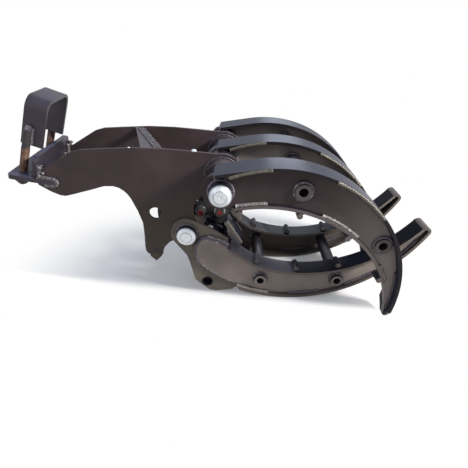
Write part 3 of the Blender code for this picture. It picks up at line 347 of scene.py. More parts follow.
def weld_paint(name, colour, bright, metal=(0.42, 0.40, 0.39)):
    """Black paint over weld metal; bright is how much of the crests shows through."""
    g = Graph(bpy.data.materials.new(name))
    patch = g.noise(size=0.007, detail=3.0, rough=0.6)
    fine = g.noise(size=0.0014, detail=3.0, rough=0.6)
    bare = (patch.step(0.5, 0.66) * fine.step(0.4, 0.6)) * bright
    painted = g.mix(patch, shade(colour, 0.7), shade(colour, 1.3))
    return g.finish(Base_Color=g.mix(bare, painted, metal), Metallic=bare * 0.6,
                    Roughness=(0.26 + patch * 0.18).clamp(),
                    Normal=g.bump(fine, distance=0.0003, strength=0.6))


dark_weld = weld_paint("weld_painted", (0.034, 0.030, 0.038), bright=0.25)
bright_weld = weld_paint("weld_thin_paint", (0.075, 0.066, 0.072), bright=0.9)


def add_piece(name, mesh, body):
    """A new piece that rides on a body."""
    piece = bpy.data.objects.new(name, mesh)
    bpy.context.scene.collection.objects.link(piece)
    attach(piece, body)
    return piece


def run_beads(name, paths, body, radius, finish=dark_weld, closed=False, pitch=0.0042, seed=3, dip=0.22,
              wander=0.18):
    """Beads along several paths of points, as one piece that rides on a body."""
    curve = bpy.data.curves.new(name + "_path", "CURVE")
    curve.dimensions = "3D"
    for path in paths:
        spline = curve.splines.new("POLY")
        spline.points.add(len(path) - 1)
        for point, place in zip(spline.points, path):
            point.co = (*place, 1.0)
        spline.use_cyclic_u = closed
    holder = bpy.data.objects.new(name + "_path", curve)
    bpy.context.scene.collection.objects.link(holder)
    bead = holder.modifiers.new("bead", "NODES")
    bead.node_group = weld_bead
    sizes = {"Bead Radius": radius, "Ripple Pitch": pitch, "Ripple Depth": dip, "Wander": wander,
             "Seed": seed, "Finish": finish}
    for socket in weld_bead.interface.items_tree:
        if socket.name in sizes:
            bead[socket.identifier] = sizes[socket.name]
    bpy.context.view_layer.update()
    evaluated = holder.evaluated_get(bpy.context.evaluated_depsgraph_get())
    mesh = bpy.data.meshes.new_from_object(evaluated)
    bpy.data.objects.remove(holder, do_unlink=True)
    add_piece(name, mesh, body)


def line(start, end, steps=12):
    """Evenly spaced points from start to end."""
    return [tuple(a + (b - a) * i / steps for a, b in zip(start, end)) for i in range(steps + 1)]


def at_y(y, points):
    """Points of the side view, put at one y."""
    return [(x, y, z) for x, z in points]


def arc_path(centre, y, radius, start, end, count=60):
    """Arc in the side view, between two angles in degrees."""
    turns = [math.radians(start + (end - start) * i / count) for i in range(count + 1)]
    return [(centre[0] + radius * math.cos(t), y, centre[1] + radius * math.sin(t)) for t in turns]


def ring_welds(name, rings, body, radius, finish=dark_weld):
    """rings are (centre, radius, y of the face on which the ring lies)."""
    points = 36
    paths = []
    for centre, ring_radius, y in rings:
        turns = [math.tau * i / points for i in range(points)]
        paths.append([(centre[0] + ring_radius * math.cos(t), y, centre[1] + ring_radius * math.sin(t))
                      for t in turns])
    run_beads(name, paths, body, radius, finish, closed=True)


# A point of the side view is x and z in metres. A sign of -1 is the near side, 1 the far side.
UPPER_PIVOT = (-0.0055, 0.3810)
LOWER_PIVOT = (-0.1065, 0.2070)
NEAR_AND_FAR = (-1, 1)
PLATE_FACES = (0.102, 0.110)
UPPER_BOSS_RADIUS = 0.0450
LOWER_BOSS_RADIUS = 0.0310
boss_rings = []
for sign in NEAR_AND_FAR:
    for face in PLATE_FACES:
        boss_rings.append((UPPER_PIVOT, UPPER_BOSS_RADIUS, sign * face))
    boss_rings.append((LOWER_PIVOT, LOWER_BOSS_RADIUS, sign * PLATE_FACES[0]))
ring_welds("weld_frame_bosses", boss_rings, "frame", radius=0.0042)

BRACE_TOP = 0.4455
BRACE_UNDERSIDE = 0.4365
BRACE_END_Y = 0.1012
NEAR_END_X = (-0.212, -0.160)
FAR_END_X = (-0.268, -0.244)
DIAGONAL_START = (-0.162, -0.098)
DIAGONAL_END = (-0.240, 0.088)
DIAGONAL_HEIGHT = 0.4462
DIAGONAL_GAPS = (0.0, 0.007, 0.014)
brace_seams = []
for height in (BRACE_TOP, BRACE_UNDERSIDE):
    brace_seams.append(line(*[(x, -BRACE_END_Y, height) for x in NEAR_END_X]))
    brace_seams.append(line(*[(x, BRACE_END_Y, height) for x in FAR_END_X], 6))
for gap in DIAGONAL_GAPS:
    ends = [(x - gap, y, DIAGONAL_HEIGHT) for x, y in (DIAGONAL_START, DIAGONAL_END)]
    brace_seams.append(line(*ends, 16))
run_beads("weld_brace", brace_seams, "frame", radius=0.0036, finish=bright_weld, seed=5)

OVER_STOP_BAR = [(-0.1825, 0.1345), (-0.2000, 0.1515), (-0.2175, 0.1345)]
stop_seams = [at_y(sign * face, OVER_STOP_BAR) for sign in NEAR_AND_FAR for face in PLATE_FACES]
run_beads("weld_stop_bar", stop_seams, "frame", radius=0.0036, seed=9)


# Clamp end of the frame: a base plate let into the side plates and an end plate standing on it, in
# the same steel under a glossier coat. What faces up is painted blue in patches, as dust lies, a
# painted reflection of the sky. Heavy hand-run fillets go round the joint, in lobes where the torch
# was moved on, with worn crests.
BASE_CORNER = (-0.5000, 0.3728)
BASE_ALONG = (0.98541, -0.17021)
# Painted reflection of the sky on what faces up.
PAINTED_SKY_BLUE = (0.070, 0.078, 0.155)
clamp_paint = satin_paint("paint_clamp", (0.027, 0.022, 0.031), gloss=0.18, dust=0.85, wear=0.6,
                          sheen=0.42, dust_and_sky_tint=PAINTED_SKY_BLUE)
paint_nodes(clamp_paint, ["clamp_base_plate", "clamp_end_plate"])


def on_base(u, w):
    """Point of the clamp end: u along the leaning base plate from its top left corner, w above it."""
    return (BASE_CORNER[0] + u * BASE_ALONG[0] - w * BASE_ALONG[1],
            BASE_CORNER[1] + u * BASE_ALONG[1] + w * BASE_ALONG[0])


def straight(a, b, y, steps=12):
    """Line between two points of the side view, at one y."""
    return line(*at_y(y, (a, b)), steps)


def across(spot, y0, y1, steps=8):
    """Line along Y through a point of the side view."""
    return line((spot[0], y0, spot[1]), (spot[0], y1, spot[1]), steps)


def over_base(y, spots):
    """Path at one y through (along, above) pairs of the clamp end."""
    return at_y(y, [on_base(u, w) for u, w in spots])


BEAD_PROUD = 0.0015
SEAM_START = 0.0135
SEAM_END = 0.0640
SEAM_OVER_BASE = 0.0015
SEAM_UNDER_BASE = -0.0135
UP_END_PLATE = ((0.0140, 0.001), (0.0140, 0.015))
CROSS_SEAMS = ((-0.0012, 0.108), (SEAM_START, 0.098))
CROSS_SEAM_HEIGHT = 0.0014
base_seams = []
for sign in NEAR_AND_FAR:
    for face, out in zip(PLATE_FACES, (-1, 1)):
        y = sign * (face + out * BEAD_PROUD)
        for height in (SEAM_OVER_BASE, SEAM_UNDER_BASE):
            base_seams.append(straight(on_base(SEAM_START, height), on_base(SEAM_END, height), y))
        foot, top = UP_END_PLATE
        base_seams.append(straight(on_base(*foot), on_base(*top), y, 5))
for u, reach in CROSS_SEAMS:
    base_seams.append(across(on_base(u, CROSS_SEAM_HEIGHT), -reach, reach, 30))
run_beads("weld_clamp_base", base_seams, "frame", radius=0.0046, seed=4)

LOBES_ON_TOP = [(0.012, 0.0035), (0.022, 0.0035), (0.032, 0.0035), (0.042, 0.0035), (0.052, 0.0035)]
LOBES_ROUND_FOOT = [(0.030, -0.016), (0.042, -0.0165), (0.052, -0.0155), (0.060, -0.012),
                    (0.0625, -0.006), (0.060, 0.000), (0.052, 0.0035)]
LOBES_UP_OUTSIDE = [(0.0165, 0.004), (0.0165, 0.012), (0.0165, 0.020), (0.0165, 0.028), (0.0165, 0.035)]
LOBES_UP_INSIDE = [(0.0145, 0.004), (0.0145, 0.012), (0.0145, 0.020), (0.0145, 0.028)]
LOBE_RUNS = ((0.1135, LOBES_ON_TOP), (0.1135, LOBES_ROUND_FOOT), (0.1120, LOBES_UP_OUTSIDE),
             (0.0990, LOBES_UP_INSIDE))
lobes = [over_base(sign * y, spots) for sign in NEAR_AND_FAR for y, spots in LOBE_RUNS]
run_beads("weld_clamp_lobes", lobes, "frame", radius=0.0066, finish=bright_weld, pitch=0.0060, seed=8,
          wander=0.4)

bare_weld = weld_paint("weld_bare", (0.170, 0.150, 0.150), bright=1.0, metal=(0.78, 0.75, 0.76))
CREST_HALF_LENGTH = 0.0018
CREST_RISE = 0.0008
CREST_SPOTS = ((0.1160, 0.0217, 0.0310), (0.1160, 0.0290, 0.0170), (0.1160, 0.0205, 0.0080),
               (0.0950, 0.0170, 0.0270), (0.0950, 0.0185, 0.0080), (0.0790, 0.0140, 0.0050))
crests = []
for sign in NEAR_AND_FAR:
    for y, u, w in CREST_SPOTS:
        x, z = on_base(u, w)
        side_view = [(x - CREST_HALF_LENGTH, z), (x, z + CREST_RISE), (x + CREST_HALF_LENGTH, z)]
        crests.append(at_y(sign * y, side_view))
run_beads("weld_clamp_crests", crests, "frame", radius=0.0040, finish=bare_weld, pitch=0.0040, seed=24)


# Saddle and rods of the clamp: a plate bent into a U that grips the arm's box section, with an M20
# stud welded to each leg. The near rod is brown with light rust below the black overspray of its
# weld. The far rod is black, with rust on its thread only.
ROD_FOOT = (-0.5390, 0.3740)
ROD_UP = (0.34202, 0.93969)
ROD_Y = 0.0833
OVERSPRAY_FROM = 0.446
OVERSPRAY_FULL = 0.456


def rusty_rod():
    g = Graph(bpy.data.materials.new("rod_rust"))
    patch = g.noise(size=0.010, detail=4.0, rough=0.6)
    fine = g.noise(size=0.0016, detail=3.0, rough=0.6)
    black = (g.along("Z") + patch * 0.016).step(OVERSPRAY_FROM, OVERSPRAY_FULL)
    rust = g.add("ShaderNodeValToRGB",
                 {"stops": [(0.30, (0.055, 0.028, 0.020)), (0.52, (0.150, 0.078, 0.052)),
                            (0.72, (0.260, 0.190, 0.160))]},
                 {0: patch * 0.7 + fine * 0.3})
    shine = (1.0 - black) * fine.step(0.5, 0.62)
    return g.finish(Base_Color=g.mix(black, rust, (0.030, 0.026, 0.028)), Metallic=shine * 0.7,
                    Roughness=(0.62 - shine * 0.25 + patch * 0.1).clamp(),
                    Normal=g.bump(fine, distance=0.0003, strength=0.6))


rod_finish = rusty_rod()
hub_paint = satin_paint("paint_hub", GLOSS_BLACK, gloss=0.14, dust=0.1, wear=0.8, sheen=0.50)
paint_nodes(clamp_paint, ["clamp_saddle"])
paint_nodes(rod_finish, ["clamp_rod_right"])
paint_nodes(hub_paint, ["clamp_rod_left"])


def on_rod(s, n):
    """Point s up the rod from its foot, n beside it in the side view."""
    return (ROD_FOOT[0] + s * ROD_UP[0] + n * ROD_UP[1], ROD_FOOT[1] + s * ROD_UP[1] - n * ROD_UP[0])


violet_weld = weld_paint("weld_violet", (0.085, 0.072, 0.090), bright=0.55, metal=(0.34, 0.31, 0.36))
LEG_SEAM_Y = 0.0765
LEG_SEAM_BESIDE = 0.0078
LEG_SEAM_START = 0.083
LEG_SEAM_END = 0.127
LEG_LEAN = 0.36
DOMES_FROM_FOOT = 0.1265
DOME_ROWS = ((0.0800, 0.0, (-0.0052, -0.0017, 0.0017, 0.0052)),
             (0.0860, 0.002, (-0.0040, 0.0, 0.0040)))
leg_seams = []
domes = []
for sign in NEAR_AND_FAR:
    for n in (-LEG_SEAM_BESIDE, LEG_SEAM_BESIDE):
        leg_seams.append(straight(on_rod(LEG_SEAM_START, n), on_rod(LEG_SEAM_END, n), sign * LEG_SEAM_Y, 14))
    x, z = on_rod(DOMES_FROM_FOOT, 0.0)
    for y, lower, run in DOME_ROWS:
        domes.append(at_y(sign * y, [(x + n, z - lower - n * LEG_LEAN) for n in run]))
run_beads("weld_saddle_legs", leg_seams, "clamp", radius=0.0066, finish=violet_weld, seed=12, wander=0.3)
run_beads("weld_saddle_domes", domes, "clamp", radius=0.0076, finish=violet_weld, seed=13, wander=0.3)

THREAD_PITCH = 0.0025
THREAD_TURNS = 42
THREAD_START = -0.0285
THREAD_RADIUS = 0.00995
THREAD_CREST = 0.00085
POINTS_PER_TURN = 24
# A bead is sampled four times in its pitch, so this one keeps about 24 points in a turn.
THREAD_SAMPLING = 0.0104
threads = []
for sign in NEAR_AND_FAR:
    helix = []
    for i in range(POINTS_PER_TURN * THREAD_TURNS + 1):
        turn = math.tau * i / POINTS_PER_TURN
        x, z = on_rod(THREAD_START + THREAD_PITCH * i / POINTS_PER_TURN, THREAD_RADIUS * math.cos(turn))
        helix.append((x, sign * ROD_Y + THREAD_RADIUS * math.sin(turn), z))
    threads.append(helix)
run_beads("clamp_rod_threads", threads, "clamp", radius=THREAD_CREST, finish=rod_finish,
          pitch=THREAD_SAMPLING, dip=0.0, wander=0.0)


# Upper jaw: three flame-cut webs edged with bent flat bar, tied by two tubes and a hinge sleeve, and
# painted with the frame. Fillets run round every tube and sleeve; the strips are stitched to the
# webs, not welded all along. The near web is painted paler toward its point, as painted light. The
# other two are painted pale near the hinge, as painted light, and darker toward their points, as
# painted shade.
UPPER_OUT = ((0.12497, 0.10498), 0.3327)
UPPER_IN = ((0.09574, -0.01075), 0.35914)
WEB_FACES = (-0.225, -0.213, -0.006, 0.006, 0.213, 0.225)
STRIP_EDGES = (-0.2458, -0.0384, 0.0384, 0.2458)
TUBE_PLACES = ("rear", "front")
INK_BLACK = (0.010, 0.010, 0.018)
# Painted light: the near web grows paler toward its point.
web_paint = satin_paint("paint_upper_web", (0.044, 0.031, 0.033), gloss=0.30,
                        beyond=(UPPER_PIVOT, 0.21, 0.50, (0.230, 0.205, 0.200), 0.0))
# Painted light near the hinge and painted shade toward the points of the centre and far webs.
painted_light_shade_web_paint = satin_paint("paint_webs_painted_light_and_shade", (0.190, 0.166, 0.158), gloss=0.34,
                               beyond=(UPPER_PIVOT, 0.20, 0.42, (0.075, 0.062, 0.060), 0.0))
strip_paint = satin_paint("paint_strip", (0.024, 0.027, 0.044), gloss=0.20, dust=0.12, wear=0.6,
                          sheen=0.12, side=(0.016, 0.013, 0.015))
rim_paint = satin_paint("paint_inner_strip_rims", INK_BLACK, gloss=0.24, dust=0.15, wear=0.6,
                        sheen=0.26, side=(0.105, 0.090, 0.087))
tube_paint = satin_paint("paint_tubes", (0.024, 0.022, 0.030), gloss=0.24, dust=0.2, wear=0.6,
                         sheen=0.35, side=(0.070, 0.061, 0.060))
paint_nodes(web_paint, ["upper_tine_web_right"])
paint_nodes(painted_light_shade_web_paint, ["upper_tine_web_centre", "upper_tine_web_left"])
paint_nodes(hub_paint, named("upper_hinge_sleeve_", TINES) + named("upper_hinge_collar_"))
paint_nodes(tube_paint, named("upper_cross_tube_", TUBE_PLACES))
paint_nodes(strip_paint, named("upper_tine_outer_strip_", TINES))
paint_nodes(rim_paint, named("upper_tine_inner_strip_", TINES))


def centre_xz(name):
    """Middle of a CAD piece in the side view."""
    low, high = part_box(name)
    return (low[0] + high[0]) / 2, (low[2] + high[2]) / 2


def off_face(face, faces, gap):
    """y of a bead that lies gap outside a web face; the faces come in pairs, the near one first."""
    outward = -1 if faces.index(face) % 2 == 0 else 1
    return face + outward * gap


def stitches(arc, offset, faces, gap, runs):
    """Short fillets along an arc on every web face, each from one angle to another."""
    centre, radius = arc
    return [arc_path(centre, off_face(face, faces, gap), radius + offset, start, end)
            for face in faces for start, end in runs]


TUBE_GAP = 0.0006
UPPER_TUBE_RADIUS = 0.0216
tube_rings = [(centre_xz("upper_cross_tube_" + place), UPPER_TUBE_RADIUS, off_face(face, WEB_FACES, TUBE_GAP))
              for place in TUBE_PLACES for face in WEB_FACES]
ring_welds("weld_upper_tubes", tube_rings, "upper_jaw", radius=0.0060, finish=bright_weld)

CREST_Y = 0.2285
CREST_RADIUS = 0.0236
CREST_ARC = (20.0, 112.0)
tube_crests = [arc_path(centre_xz("upper_cross_tube_" + place), sign * CREST_Y, CREST_RADIUS, *CREST_ARC, 20)
               for place in TUBE_PLACES for sign in NEAR_AND_FAR]
run_beads("weld_upper_tube_crests", tube_crests, "upper_jaw", radius=0.0044, finish=violet_weld,
          pitch=0.0050, seed=26)

SLEEVE_RADIUS = 0.0410
COLLAR_RADIUS = 0.0292
hinge_rings = [(UPPER_PIVOT, SLEEVE_RADIUS, face) for face in WEB_FACES[1:5]]
hinge_rings += [(UPPER_PIVOT, COLLAR_RADIUS, face) for face in (WEB_FACES[0], WEB_FACES[5])]
ring_welds("weld_upper_hinge", hinge_rings, "upper_jaw", radius=0.0054, finish=violet_weld)

WEB_GAP = 0.0016
STRIP_GAP = 0.0014
OUTER_RUNS = ((112.0, 92.0), (66.0, 39.0), (8.0, -13.0))
outer_seams = stitches(UPPER_OUT, -STRIP_GAP, WEB_FACES, WEB_GAP, OUTER_RUNS)
run_beads("weld_upper_outer_seams", outer_seams, "upper_jaw", radius=0.0042, seed=6)

olive_weld = weld_paint("weld_olive", (0.085, 0.078, 0.058), bright=0.35, metal=(0.22, 0.20, 0.16))
EDGE_RISE = 0.0036
EDGE_RUNS = ((109.0, 92.0), (66.0, 39.0))
edge_seams = [arc_path(UPPER_OUT[0], y, UPPER_OUT[1] + EDGE_RISE, start, end)
              for y in STRIP_EDGES for start, end in EDGE_RUNS]
run_beads("weld_upper_edge_runs", edge_seams, "upper_jaw", radius=0.0050, finish=olive_weld, pitch=0.0050,
          seed=22)

INNER_RUNS = ((100.5, 88.4), (66.4, 48.4), (31.0, 22.5))
inner_seams = stitches(UPPER_IN, STRIP_GAP, WEB_FACES, WEB_GAP, INNER_RUNS)
run_beads("weld_upper_inner_seams", inner_seams, "upper_jaw", radius=0.0054, finish=bare_weld, pitch=0.0048,
          seed=7)

STRIP_TAIL = (-0.0181, 0.4212)
TAIL_WIDTHS = ((-0.245, -0.226), (-0.212, -0.171), (-0.037, -0.007))
tail_seams = []
for low, high in TAIL_WIDTHS:
    tail_seams += [across(STRIP_TAIL, low, high), across(STRIP_TAIL, -low, -high)]
run_beads("weld_strip_tails", tail_seams, "upper_jaw", radius=0.0036, finish=bright_weld, seed=10)

CLEAT_HALF_WIDTH = 0.0062


def cleat_seams(centre, radius, turns, y, half):
    """Two short fillets, one on each side of a round bar that lies across a strip."""
    paths = []
    for turn in turns:
        for side in (-1, 1):
            angle = math.radians(turn + side * math.degrees(CLEAT_HALF_WIDTH / radius))
            spot = (centre[0] + radius * math.cos(angle), centre[1] + radius * math.sin(angle))
            paths.append(across(spot, y - half, y + half, 6))
    return paths


THREE_CLEATS = (75.1, 51.8, 24.6)
FOUR_CLEATS = (99.5, 75.1, 51.8, 24.6)
CLEAT_FEET_RADIUS = 0.3496
CLEAT_SEAM_HALF = 0.0135
upper_cleats = []
for y, turns in ((-0.219, FOUR_CLEATS), (0.0, THREE_CLEATS), (0.219, FOUR_CLEATS)):
    upper_cleats += cleat_seams(UPPER_IN[0], CLEAT_FEET_RADIUS, turns, y, CLEAT_SEAM_HALF)
run_beads("weld_upper_cleats", upper_cleats, "upper_jaw", radius=0.0026, pitch=0.0034, seed=11)


# Lower jaw: two tines of flat bar bent round a web, on hinge plates, tied by two tubes and a throat
# plate, in the same steel and paint. A heavy bead runs round the root of each web where it lies on
# its hinge plate. The webs and hinge plates are painted paler and browner than the upper webs, as
# painted light from the floor, the far web less so than the near one.
LOWER_OUT = ((0.19325, 0.42500), 0.4167)
LOWER_IN = ((0.23354, 0.48894), 0.40823)
LOW_FACES = (-0.1289, -0.1189, 0.1189, 0.1289)
COLLAR_PAINTED_TO = 0.0295
# Painted light from the floor: the lower webs are paler than the upper webs, the far one less so.
low_web_paint = satin_paint("paint_lower_web", (0.225, 0.196, 0.178), gloss=0.34)
far_low_web_paint = satin_paint("paint_far_lower_web", (0.095, 0.081, 0.073), gloss=0.34)
# The hinge plates are painted paler too, as painted light.
hinge_paint = satin_paint("paint_hinge_plate", (0.150, 0.132, 0.108), gloss=0.34,
                          hub=(LOWER_PIVOT, COLLAR_PAINTED_TO))
# Painted light and shadow: the lower inner strips are light near the hinge and near black past a border
# leaning along Y, where a shadow falls.
low_inner_paint = satin_paint("paint_low_inner_strip", (0.112, 0.106, 0.120), gloss=0.26, dust=0.10,
                              wear=0.6, sheen=0.12, side=(0.160, 0.138, 0.126),
                              beyond=(LOWER_PIVOT, 0.282, 0.300, (0.005, 0.006, 0.012), 0.30))
inner_paint = satin_paint("paint_inner_strip", INK_BLACK, gloss=0.24, dust=0.15, wear=0.6, sheen=0.26)
low_tube_paint = satin_paint("paint_lower_tubes", (0.024, 0.022, 0.030), gloss=0.24, dust=0.2, wear=0.6,
                             sheen=0.35, side=(0.200, 0.176, 0.166))
low_outer_paint = satin_paint("paint_low_outer_strip", (0.085, 0.073, 0.067), gloss=0.28, dust=0.12,
                              wear=0.6, sheen=0.20, side=(0.115, 0.100, 0.092))
paint_nodes(low_web_paint, ["lower_tine_web_right"])
paint_nodes(far_low_web_paint, ["lower_tine_web_left"])
paint_nodes(hinge_paint, named("lower_hinge_plate_"))
paint_nodes(low_inner_paint, named("lower_tine_inner_strip_"))
paint_nodes(inner_paint, ["lower_throat_plate"])
paint_nodes(low_tube_paint, named("lower_cross_tube_", TUBE_PLACES))
paint_nodes(low_outer_paint, named("lower_tine_outer_strip_"))

LOWER_TUBE_RADIUS = 0.0186
LOWER_COLLAR_Y = 0.1186
low_rings = [(centre_xz("lower_cross_tube_" + place), LOWER_TUBE_RADIUS, off_face(face, LOW_FACES, TUBE_GAP))
             for place in TUBE_PLACES for face in LOW_FACES]
low_rings += [(LOWER_PIVOT, COLLAR_RADIUS, sign * LOWER_COLLAR_Y) for sign in NEAR_AND_FAR]
ring_welds("weld_lower_tubes", low_rings, "lower_jaw", radius=0.0052, finish=bright_weld)

ROOT_EDGE = [(0.0085, 0.1685), (-0.012, 0.182), (-0.040, 0.193), (-0.050, 0.195), (-0.062, 0.193),
             (-0.071, 0.185), (-0.081, 0.165), (-0.081, 0.143), (-0.074, 0.122), (-0.063, 0.106),
             (-0.045, 0.088), (-0.016, 0.068), (0.016, 0.050), (0.034, 0.040)]
TOP_RUN = ROOT_EDGE[0:4]
BACK_RUN = ROOT_EDGE[5:12]
FOOT_RUN = ROOT_EDGE[7:13]


def moved(points, dx, dz):
    return [(x + dx, z + dz) for x, z in points]


ROOT_Y = 0.1200
SECOND_PASS_Y = 0.1204
BRIGHT_PASSES = ((0.1262, moved(TOP_RUN, -0.003, -0.002)), (0.1235, moved(TOP_RUN, 0.002, 0.007)),
                 (0.1255, FOOT_RUN))
roots = [at_y(sign * ROOT_Y, ROOT_EDGE) for sign in NEAR_AND_FAR]
run_beads("weld_lower_roots", roots, "lower_jaw", radius=0.0085, finish=violet_weld, pitch=0.0056, seed=15)
second_pass = [at_y(sign * SECOND_PASS_Y, moved(BACK_RUN, -0.0062, -0.0030)) for sign in NEAR_AND_FAR]
run_beads("weld_lower_roots_second", second_pass, "lower_jaw", radius=0.0048, finish=bright_weld,
          pitch=0.0046, seed=16)
bright_runs = [at_y(sign * y, spots) for sign in NEAR_AND_FAR for y, spots in BRIGHT_PASSES]
run_beads("weld_lower_roots_bright", bright_runs, "lower_jaw", radius=0.0042, finish=bare_weld,
          pitch=0.0050, seed=23)

brown_weld = weld_paint("weld_brown", (0.185, 0.160, 0.147), bright=0.30, metal=(0.28, 0.25, 0.23))
STRIP_ROOT_Y = 0.1335
STRIP_ROOT_RISE = 0.0005
STRIP_ROOT_ARC = (-112.5, -99.0)
strip_roots = [arc_path(LOWER_OUT[0], sign * STRIP_ROOT_Y, LOWER_OUT[1] + STRIP_ROOT_RISE, *STRIP_ROOT_ARC)
               for sign in NEAR_AND_FAR]
run_beads("weld_lower_strip_roots", strip_roots, "lower_jaw", radius=0.0066, finish=brown_weld,
          pitch=0.0060, seed=25)

LOW_WEB_GAP = 0.0014
LOW_OUTER_RUNS = ((-109.0, -99.0), (-90.0, -78.0), (-67.0, -55.0), (-45.0, -34.0))
LOW_INNER_RUNS = ((-110.5, -100.0), (-90.0, -79.0), (-69.0, -58.0), (-50.0, -41.0))
low_outer = stitches(LOWER_OUT, -STRIP_GAP, LOW_FACES, LOW_WEB_GAP, LOW_OUTER_RUNS)
run_beads("weld_lower_outer_seams", low_outer, "lower_jaw", radius=0.0048, finish=violet_weld, seed=17)
low_inner = stitches(LOWER_IN, STRIP_GAP, LOW_FACES, LOW_WEB_GAP, LOW_INNER_RUNS)
run_beads("weld_lower_inner_seams", low_inner, "lower_jaw", radius=0.0036, seed=18)

LOW_CLEATS_X = (0.091, 0.207, 0.331)
LOW_CLEATS_Y = 0.112
LOW_CLEAT_RADIUS = 0.3994
LOW_CLEAT_FEET_RADIUS = 0.3986
LOW_CLEAT_SEAM_HALF = 0.0190
LOWER_NOSE = (0.5416, 0.2336)
NOSE_FROM_Y = 0.083
NOSE_TO_Y = 0.141
THROAT_PLATE_Y = 0.0806
THROAT_PLATE_EDGES = (((0.0075, 0.1860), (0.0500, 0.1060)), ((-0.0035, 0.1800), (0.0400, 0.0990)))
low_turns = [math.degrees(math.asin((x - LOWER_IN[0][0]) / LOW_CLEAT_RADIUS)) - 90 for x in LOW_CLEATS_X]
low_cleats = []
noses = []
throat_edges = []
for sign in NEAR_AND_FAR:
    low_cleats += cleat_seams(LOWER_IN[0], LOW_CLEAT_FEET_RADIUS, low_turns, sign * LOW_CLEATS_Y,
                              LOW_CLEAT_SEAM_HALF)
    noses.append(across(LOWER_NOSE, sign * NOSE_FROM_Y, sign * NOSE_TO_Y, 14))
    for top, foot in THROAT_PLATE_EDGES:
        throat_edges.append(straight(top, foot, sign * THROAT_PLATE_Y, 24))
run_beads("weld_lower_cleats", low_cleats, "lower_jaw", radius=0.0028, pitch=0.0036, seed=19)
run_beads("weld_noses", noses, "lower_jaw", radius=0.0026, pitch=0.0040, seed=20)
run_beads("weld_throat", throat_edges, "lower_jaw", radius=0.0040, seed=21)


# Throat braces: two flat bars, one on each side of the ram, that stand on the throat plate and tie it
# to the tines. They are cut from steel bar with broken edges, and painted as the near web is, in its
# paler colour that stands for painted light.
BRACE_SIDE_VIEW = [(0.0076, 0.2253), (0.0512, 0.1536), (0.0406, 0.1472), (-0.0030, 0.2189)]
BRACE_WIDTHS = ((-0.0812, -0.0700), (0.0700, 0.0812))
brace_points = []
brace_faces = []
for y0, y1 in BRACE_WIDTHS:
    base = len(brace_points)
    brace_points += at_y(y0, BRACE_SIDE_VIEW) + at_y(y1, BRACE_SIDE_VIEW)
    brace_faces += [(base, base + 1, base + 2, base + 3), (base + 7, base + 6, base + 5, base + 4)]
    for i in range(4):
        j = (i + 1) % 4
        brace_faces.append((base + i, base + 4 + i, base + 4 + j, base + j))
brace_mesh = bpy.data.meshes.new("throat_braces")
brace_mesh.from_pydata(brace_points, [], brace_faces)
brace_mesh.materials.append(low_web_paint)
throat_braces = add_piece("throat_braces", brace_mesh, "lower_jaw")
arris = throat_braces.modifiers.new("arris", "BEVEL")
arris.width = 0.0012
arris.segments = 2


# Ear bushes: a short blind cup pressed into the eye at the foot of each hinge plate. It is steel
# with the black coat inside and out, and it closes the eye.
EAR_CENTRE = (-0.054, 0.043)
EAR_RADIUS = 0.0168
EAR_BORE = 0.0142
EAR_MOUTH_Y = 0.1192
EAR_BACK_Y = 0.0950
EAR_FLOOR_Y = 0.0970
EAR_SIDES = 40
EAR_PROFILE = [(EAR_RADIUS, EAR_MOUTH_Y), (EAR_RADIUS, EAR_BACK_Y), (0.0, EAR_BACK_Y),
               (0.0, EAR_FLOOR_Y), (EAR_BORE, EAR_FLOOR_Y), (EAR_BORE, EAR_MOUTH_Y)]


def ear_bush(name, sign):
    """The profile turned about the eye's axis; a point on the axis is one vertex."""
    work = bmesh.new()
    rings = []
    for radius, y in EAR_PROFILE:
        ring = []
        for i in range(EAR_SIDES if radius else 1):
            turn = math.tau * i / EAR_SIDES
            ring.append(work.verts.new((EAR_CENTRE[0] + radius * math.cos(turn), sign * y,
                                        EAR_CENTRE[1] + radius * math.sin(turn))))
        rings.append(ring)
    for a, b in ((0, 1), (1, 2), (3, 4), (4, 5), (5, 0)):
        for i in range(EAR_SIDES):
            j = (i + 1) % EAR_SIDES
            corners = [rings[a][i % len(rings[a])], rings[a][j % len(rings[a])],
                       rings[b][j % len(rings[b])], rings[b][i % len(rings[b])]]
            work.faces.new(list(dict.fromkeys(corners)))
    bmesh.ops.recalc_face_normals(work, faces=work.faces)
    mesh = bpy.data.meshes.new(name)
    work.to_mesh(mesh)
    work.free()
    mesh.materials.append(inner_paint)
    add_piece(name, mesh, "lower_jaw")


ear_bush("ear_bush_right", -1)
ear_bush("ear_bush_left", 1)


# Hinge pins, ram pins and port adapters: turned steel, zinc plated. The faces keep the fine rings of
# the lathe, the hinge pins two dark grooves as well, and the plating is slightly clouded. The lower
# hinge pins are painted brighter, as painted light, and the left port adapter dark, as painted
# shade. The clamp's nuts and washers are painted over with the clamp.
ZINC = (0.76, 0.81, 0.84)
PAINTED_LIGHT_ZINC = (0.90, 0.95, 0.99)
PAINTED_SHADE_ZINC = (0.12, 0.12, 0.13)
RUBBED_ZINC = (0.86, 0.90, 0.92)
SPOTTED_ZINC = (0.44, 0.45, 0.45)
DARK_GROOVE = (0.20, 0.22, 0.24)
PIN_GROOVES = (0.0158, 0.0258)
LATHE_RINGS = 9000.0


